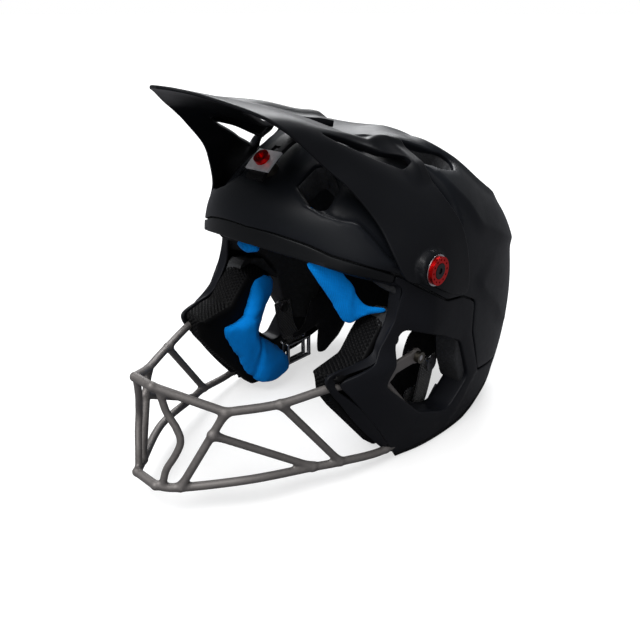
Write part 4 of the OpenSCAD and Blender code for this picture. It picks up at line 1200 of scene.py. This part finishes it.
def soften(ob, levels=1, it=2):
    s = ob.modifiers.new("s", 'SMOOTH'); s.iterations = it; s.factor = 0.5
    if levels:
        m = ob.modifiers.new("sub", 'SUBSURF'); m.levels = levels; m.render_levels = levels
    bake(ob)
    for p in ob.data.polygons: p.use_smooth = True

def crease(ob, lines, axis=0, depth=1.5, width=2.0, side=1):
    """Folds: draws vertices in along their normals near polylines given in Y and Z (mm)."""
    me = ob.data
    co = np.array([tuple(v.co) for v in me.vertices]) / MM; no = np.array([tuple(v.normal) for v in me.vertices])
    X = co[:, 1:3]
    for ln, dp, wd in lines:
        d = np.abs(sdist(X, smooth_path(ln, 1.5), closed=False))
        co = co - no * (dp * np.exp(-(d / wd) ** 2))[:, None]
    for v, c in zip(me.vertices, co): v.co = c * MM

def slab_pad(name, poly, xf, mat, voxel=4.0, repl=(), pressure=4.0, cap=3.5, folds=(), body="helmet", edge=3.0):
    """Crowned cushion from a side outline; xf(y, z) gives inner and outer x."""
    O = ccw(lap(resample(densify(fillet(poly, 3.5), 0.5), 2.0), 2))
    H = hexgrid(O.min(0) - 2, O.max(0) + 2, 2.4); H = H[inpoly(H, O)]; H = H[~near_mask(H, O, 1.6)]
    n = len(O); V0 = np.vstack([O, H])
    r = delaunay_2d_cdt([Vector(v) for v in V0], [(i, (i + 1) % n) for i in range(n)], [], 0, 1e-6, False)
    V = np.array([tuple(v) for v in r[0]]); F = np.array([list(f) for f in r[2]], int); F = F[inpoly(V[F].mean(1), O)]
    a2 = (V[F[:, 1], 0] - V[F[:, 0], 0]) * (V[F[:, 2], 1] - V[F[:, 0], 1]) - (V[F[:, 2], 0] - V[F[:, 0], 0]) * (V[F[:, 1], 1] - V[F[:, 0], 1])
    F[a2 < 0] = F[a2 < 0][:, ::-1]
    d = np.maximum(sdist(V, O), 0)
    x0, x1 = xf(V[:, 0], V[:, 1])
    mid = 0.5 * (x0 + x1); half = 0.5 * (x1 - x0)
    k = np.sqrt(1 - (1 - np.clip(d / edge, 0, 1)) ** 2) * 0.85 + 0.15 * smooth01(d / 14)
    k = np.maximum(k, 0.02)
    A = np.stack([mid - half * k, V[:, 0], V[:, 1]], -1); B = np.stack([mid + half * k, V[:, 0], V[:, 1]], -1)
    m = len(V); faces = [tuple(f[::-1]) for f in F] + [tuple(f + m) for f in F]
    E = {}
    for f in F:
        for q in range(3): E[(f[q], f[(q + 1) % 3])] = 1
    for (a, b) in E:
        if (b, a) not in E: faces.append((a, b, b + m, a + m))
    ob = make(name, np.vstack([A, B]), faces, mat, body, repl, merge=False)
    if voxel: remesh(ob, voxel)
    ob.data.materials.clear(); ob.data.materials.append(mat)
    swell(ob, pressure, cap)
    soften(ob, 1)
    if folds: crease(ob, folds)
    return ob

PAD = [[-56, 72], [-34, 78], [-26, 92], [-20, 108], [-4, 109], [4, 104], [5, 92], [-3, 78], [-14, 58], [8, 38], [16, 25], [17, 7], [-3, 4], [-21, 9], [-31, 20]]
def far_x(y, z):
    roll_ = smooth01((46 - z) / 26.0)
    ridge = np.interp(z, [10, 40, 60, 75, 95, 110], [-14, -17, -24, -27, -16, -12])
    t = np.where(y < ridge, 1 - (ridge - y) / 26.0, 1 - (y - ridge) / 20.0)
    up = 4.6 * np.clip(t, 0, 1) * (0.35 + 0.65 * smooth01((z - 24) / 20.0)) * (1 - 0.5 * smooth01((z - 88) / 16.0))
    return -(60.4 + 0 * y), -(54.5 - 6.5 * roll_ * smooth01((y + 30) / 20) - up)
slab_pad("cheek_cover_right_cloth", [[y, z] for y, z in PAD], lambda y, z: far_x(y, z), M['blue'], 3.6, ("cheek_cover_right",), cap=3.0,
         folds=[([(-14, 58), (-20, 40), (-24, 18)], 1.6, 2.2), ([(-34, 78), (-22, 74), (-4, 80)], 1.0, 2.0), ([(-14, 58), (0, 44), (12, 26)], 0.9, 3.0), ([(-40, 66), (-28, 50), (-24, 30)], 0.5, 4.0)])
slab_pad("cheek_cover_left_cloth", [[y, z] for y, z in PAD], lambda y, z: (54.5 - 6.5 * smooth01((46 - z) / 26.0) * smooth01((y + 30) / 20), 60.4 + 0 * y), M['blue'], 3.6, ("cheek_cover_left",), cap=3.0,
         folds=[([(-14, 58), (-20, 40), (-24, 18)], 1.6, 2.2), ([(-34, 78), (-22, 74), (-4, 80)], 1.0, 2.0)])
# upper lobe of the cloth at the temple, wearer's left
TEMPLE = [[-67, 158], [-60.5, 144], [-51.5, 127.5], [-43, 110.5], [-37, 108.5], [-30, 114.5], [-19.5, 116], [-20.5, 120.5], [-29, 122], [-33, 128], [-35.5, 136], [-45, 150], [-58, 158]]
def temple_x(y, z):
    c = np.interp(y, [-68, -61, -50, -44, -33, -21], [45.5, 51, 57, 60, 66.5, 80.5])
    return c - 1.8, c + 1.8
slab_pad("temple_cloth_left", TEMPLE, temple_x, M['blue'], 0, (), cap=1.5, edge=1.8,
         folds=[([(-60, 154), (-46, 136), (-34, 118)], 0.8, 2.5), ([(-36, 134), (-38, 122), (-36, 112)], 0.7, 2.0)])

# dark wings of the nape pad, from the cheek pads backwards on both sides
WING = [[19.5, 8], [40, 5.5], [64, 8], [84, 19], [98, 38], [101, 56], [88, 70], [62, 74], [47, 71], [41, 58], [36, 44], [19.5, 38]]
slab_pad("nape_wing_left_cloth", WING, lambda y, z: (50 - 0.05 * np.maximum(y - 50, 0), 58 - 0.05 * np.maximum(y - 50, 0)), M['dark'], 3.6, (), cap=2.0)
WING_R = [[55, 7], [66, 8], [84, 19], [98, 38], [101, 56], [88, 70], [62, 74], [47, 71], [41, 58], [36, 47], [19.5, 46], [19.5, 38], [54, 38]]
slab_pad("nape_wing_right_cloth", WING_R, lambda y, z: (-58 + 0.05 * np.maximum(y - 50, 0), -50 + 0.05 * np.maximum(y - 50, 0)), M['dark'], 3.6, (), cap=2.0)

# rolled end of the brow pad on the wearer's right
BROW_ROLL = [[-55 + 6 * math.cos(a), 150.5 + 5.5 * math.sin(a)] for a in np.linspace(0, 2 * np.pi, 16, endpoint=False)]
slab_pad("brow_roll_cloth", BROW_ROLL, lambda y, z: (-33 + 0 * y, -5 + 0 * y), M['blue'], 2.0, (), cap=1.0, edge=6.0)

def soft_node(node, name, mat, voxel=5.0, shrink=1.0, cap=4.0, pressure=4.0, folds=()):
    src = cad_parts[node]
    me = src.data.copy(); ob = bpy.data.objects.new(name, me); scene.collection.objects.link(ob)
    me.transform(src.matrix_world)
    me.materials.clear(); me.materials.append(mat)
    bm = bmesh.new(); bm.from_mesh(me); bmesh.ops.remove_doubles(bm, verts=bm.verts, dist=1e-5); bmesh.ops.recalc_face_normals(bm, faces=bm.faces); bm.to_mesh(me); bm.free()
    remesh(ob, voxel, 3)
    ob.data.materials.clear(); ob.data.materials.append(mat)
    if shrink:
        no = [v.normal.copy() for v in ob.data.vertices]
        for v, q in zip(ob.data.vertices, no): v.co = v.co - q * shrink * MM
    swell(ob, pressure, cap)
    soften(ob, 1)
    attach(ob, "helmet"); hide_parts(node)
    return ob
# the head liner wears the dark cloth as painted shade: it darkens the floor seen through the roof vents, though the
# liner itself is blue
soft_node("head_liner", "head_liner_cloth", M['dark'], 4.5, 1.2, 2.5)
soft_node("brow_pad", "brow_pad_cloth", M['blue'], 3.6, 1.0, 3.0)
soft_node("nape_pad", "nape_pad_cloth", M['dark'], 4.5, 1.2, 3.0)

# ---------------------------------------------------------------- webbing
def strap(name, line, y0, w, t, repl, closed=False, stitches=()):
    path = smooth_path(line, 1.2, closed)
    path3 = np.stack([path[:, 0], np.full(len(path), y0 + w / 2), path[:, 1]], -1)
    if closed:
        tg = np.roll(path3, -1, 0) - np.roll(path3, 1, 0)
    else:
        tg = np.gradient(path3, axis=0)
    tg /= np.linalg.norm(tg, axis=1, keepdims=True)
    Bv = np.tile([0, 1.0, 0], (len(path3), 1)); Av = np.cross(Bv, tg)
    nw = 24; sec = []
    for k in range(nw + 1):
        u = -1 + 2 * k / nw
        edge = math.sqrt(max(0.0, 1 - max(0.0, (abs(u) - 0.92) / 0.08) ** 2))
        rib = 0.12 * math.cos(u * 30)
        sec.append(((t / 2 * edge + rib * 0.5 * edge), u * w / 2))
    for k in range(nw, -1, -1):
        u = -1 + 2 * k / nw
        edge = math.sqrt(max(0.0, 1 - max(0.0, (abs(u) - 0.92) / 0.08) ** 2))
        rib = 0.12 * math.cos(u * 30)
        sec.append((-(t / 2 * edge + rib * 0.5 * edge) - 0.02, u * w / 2))
    P, F = sweep(path3, sec, closed=closed, up=(Av, Bv))
    parts = [(P, F)]
    for (s0, s1) in stitches:
        # sewn boxes: short thread stitches raised on both faces
        a = path3[int(s0 * (len(path3) - 1))]; b = path3[int(s1 * (len(path3) - 1))]
        na = Av[int(s0 * (len(path3) - 1))]
        for sg in (-1, 1):
            for yy in np.linspace(-w * 0.36, w * 0.36, 5):
                m_ = 5
                for q in range(m_):
                    c0 = a + (b - a) * (q + 0.15) / m_; c1 = a + (b - a) * (q + 0.75) / m_
                    off = na * sg * (t / 2 + 0.12) + np.array([0, yy, 0])
                    parts.append(tube_mesh(np.array([c0 + off, (c0 + c1) / 2 + off + na * sg * 0.12, c1 + off]), 0.32, 6))
    P, F = joinm(parts)
    return make(name, P, F, M['webbing'], "helmet", repl, sharp=60, merge=False)
strap("chin_strap_left_web", [(79.8, 62), (77.6, 46), (75.2, 30), (72.6, 17), (69.2, 8.6), (64.9, 5.9), (62.0, 10.6), (64.2, 20), (66.8, 30)], 26, 20, 1.5, ("chin_strap_left",), stitches=((0.06, 0.2),))
loop_c = [(-67 + 2.65 * math.cos(a), 29 + 2.65 * math.sin(a)) for a in np.radians(np.arange(150, -190, -30))]
strap("chin_strap_right_web", [(-79.8, 62), (-77.6, 51), (-75.2, 40), (-72.2, 35.4), (-69.0, 31.2)] + loop_c[1:10], 26, 20, 1.4, ("chin_strap_right",), stitches=((0.08, 0.3),))

# ---------------------------------------------------------------- carried-over nodes
def paint(node, mat):
    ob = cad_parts.get(node)
    if ob is None: return
    for s in ob.material_slots: s.material = mat
    if not ob.material_slots: ob.data.materials.append(mat)
for n, k in (("port_trim", 'trim'), ("neck_trim", 'trim'), ("eps_liner", 'eps'), ("cheek_foam_left", 'foam'), ("cheek_foam_right", 'foam'),
             ("head_liner", 'blue'), ("brow_pad", 'blue'), ("nape_pad", 'dark'), ("cheek_pad_left", 'dark'), ("cheek_pad_right", 'dark'),
             ("cheek_cover_left", 'blue'), ("cheek_cover_right", 'blue'), ("cage_bolts", 'steel'), ("cage_nuts", 'insert'),
             ("visor_tongue", 'cap'), ("center_bracket", 'bracket'), ("center_screw", 'screw'), ("center_insert", 'insert'),
             ("visor_screw_left", 'screw'), ("visor_screw_right", 'screw'), ("screw_cap_left", 'cap'), ("screw_cap_right", 'cap'),
             ("pivot_washer_left", 'steel'), ("pivot_washer_right", 'steel'), ("pivot_bush_left", 'bush'), ("pivot_bush_right", 'bush'),
             ("pivot_insert_left", 'insert'), ("pivot_insert_right", 'insert'), ("chin_strap_left", 'webbing'), ("chin_strap_right", 'webbing'),
             ("d_ring_outer", 'ring'), ("d_ring_inner", 'ring'), ("strap_rivets", 'steel'), ("strap_snap", 'cap'), ("pad_studs", 'cap')):
    paint(n, M[k])

# ---------------------------------------------------------------- floor, light
def floor_mat():
    m, nt, b = new_mat("floor_mat")
    v = coords(nt)
    n = noise(nt, v, 3, 3, 0.5)
    c = ramp(nt, n, [(0.3, g4(0.39)), (0.7, g4(0.41))])
    nt.links.new(c, b.inputs['Base Color']); b.inputs['Roughness'].default_value = 0.8
    b.inputs['Emission Color'].default_value = (1, 1, 1, 1); b.inputs['Emission Strength'].default_value = 0.62
    # studio sweep: pale to the eye, weak as a bounce
    dim = nt.nodes.new('ShaderNodeBsdfDiffuse'); dim.inputs['Color'].default_value = (0.16, 0.16, 0.17, 1)
    lpf = nt.nodes.new('ShaderNodeLightPath'); mxf = nt.nodes.new('ShaderNodeMixShader')
    nt.links.new(lpf.outputs['Is Camera Ray'], mxf.inputs[0]); nt.links.new(dim.outputs[0], mxf.inputs[1]); nt.links.new(b.outputs[0], mxf.inputs[2])
    out = [k for k in nt.nodes if k.type == 'OUTPUT_MATERIAL'][0]
    nt.links.new(mxf.outputs[0], out.inputs['Surface'])
    return m
me = bpy.data.meshes.new("floor")
s = 40.0
me.from_pydata([(-s, -s, -0.0012), (s, -s, -0.0012), (s, s, -0.0012), (-s, s, -0.0012)], [], [(0, 1, 2, 3)])
fl = bpy.data.objects.new("floor", me); scene.collection.objects.link(fl); me.materials.append(floor_mat())

w = bpy.data.worlds.new("world"); scene.world = w; w.use_nodes = True
nt = w.node_tree; bg = nt.nodes['Background']
bg.inputs[0].default_value = (1, 1, 1, 1); bg.inputs[1].default_value = 1.0
lp = nt.nodes.new('ShaderNodeLightPath'); bg2 = nt.nodes.new('ShaderNodeBackground'); mx = nt.nodes.new('ShaderNodeMixShader')
bg2.inputs[0].default_value = (0.96, 0.98, 1.0, 1); bg2.inputs[1].default_value = 0.2
nt.links.new(lp.outputs['Is Camera Ray'], mx.inputs[0]); nt.links.new(bg2.outputs[0], mx.inputs[1]); nt.links.new(bg.outputs[0], mx.inputs[2])
nt.links.new(mx.outputs[0], nt.nodes['World Output'].inputs['Surface'])

def sun(name, az, el, strength, angle, col=(1, 1, 1)):
    l = bpy.data.lights.new(name, 'SUN'); l.energy = strength; l.angle = math.radians(angle); l.color = col
    o = bpy.data.objects.new(name, l); scene.collection.objects.link(o)
    d = Vector((math.sin(math.radians(az)) * math.cos(math.radians(el)), -math.cos(math.radians(az)) * math.cos(math.radians(el)), math.sin(math.radians(el))))
    o.location = d * 2; look_at(o, (0, 0, 0.1)); return o
sun("top", 4, 60, 3.3, 40)
sun("back", 214, 42, 3.0, 35, (0.97, 0.98, 1.0))
sun("fill", 40, 20, 0.5, 40)
scene.view_settings.view_transform = 'Standard'
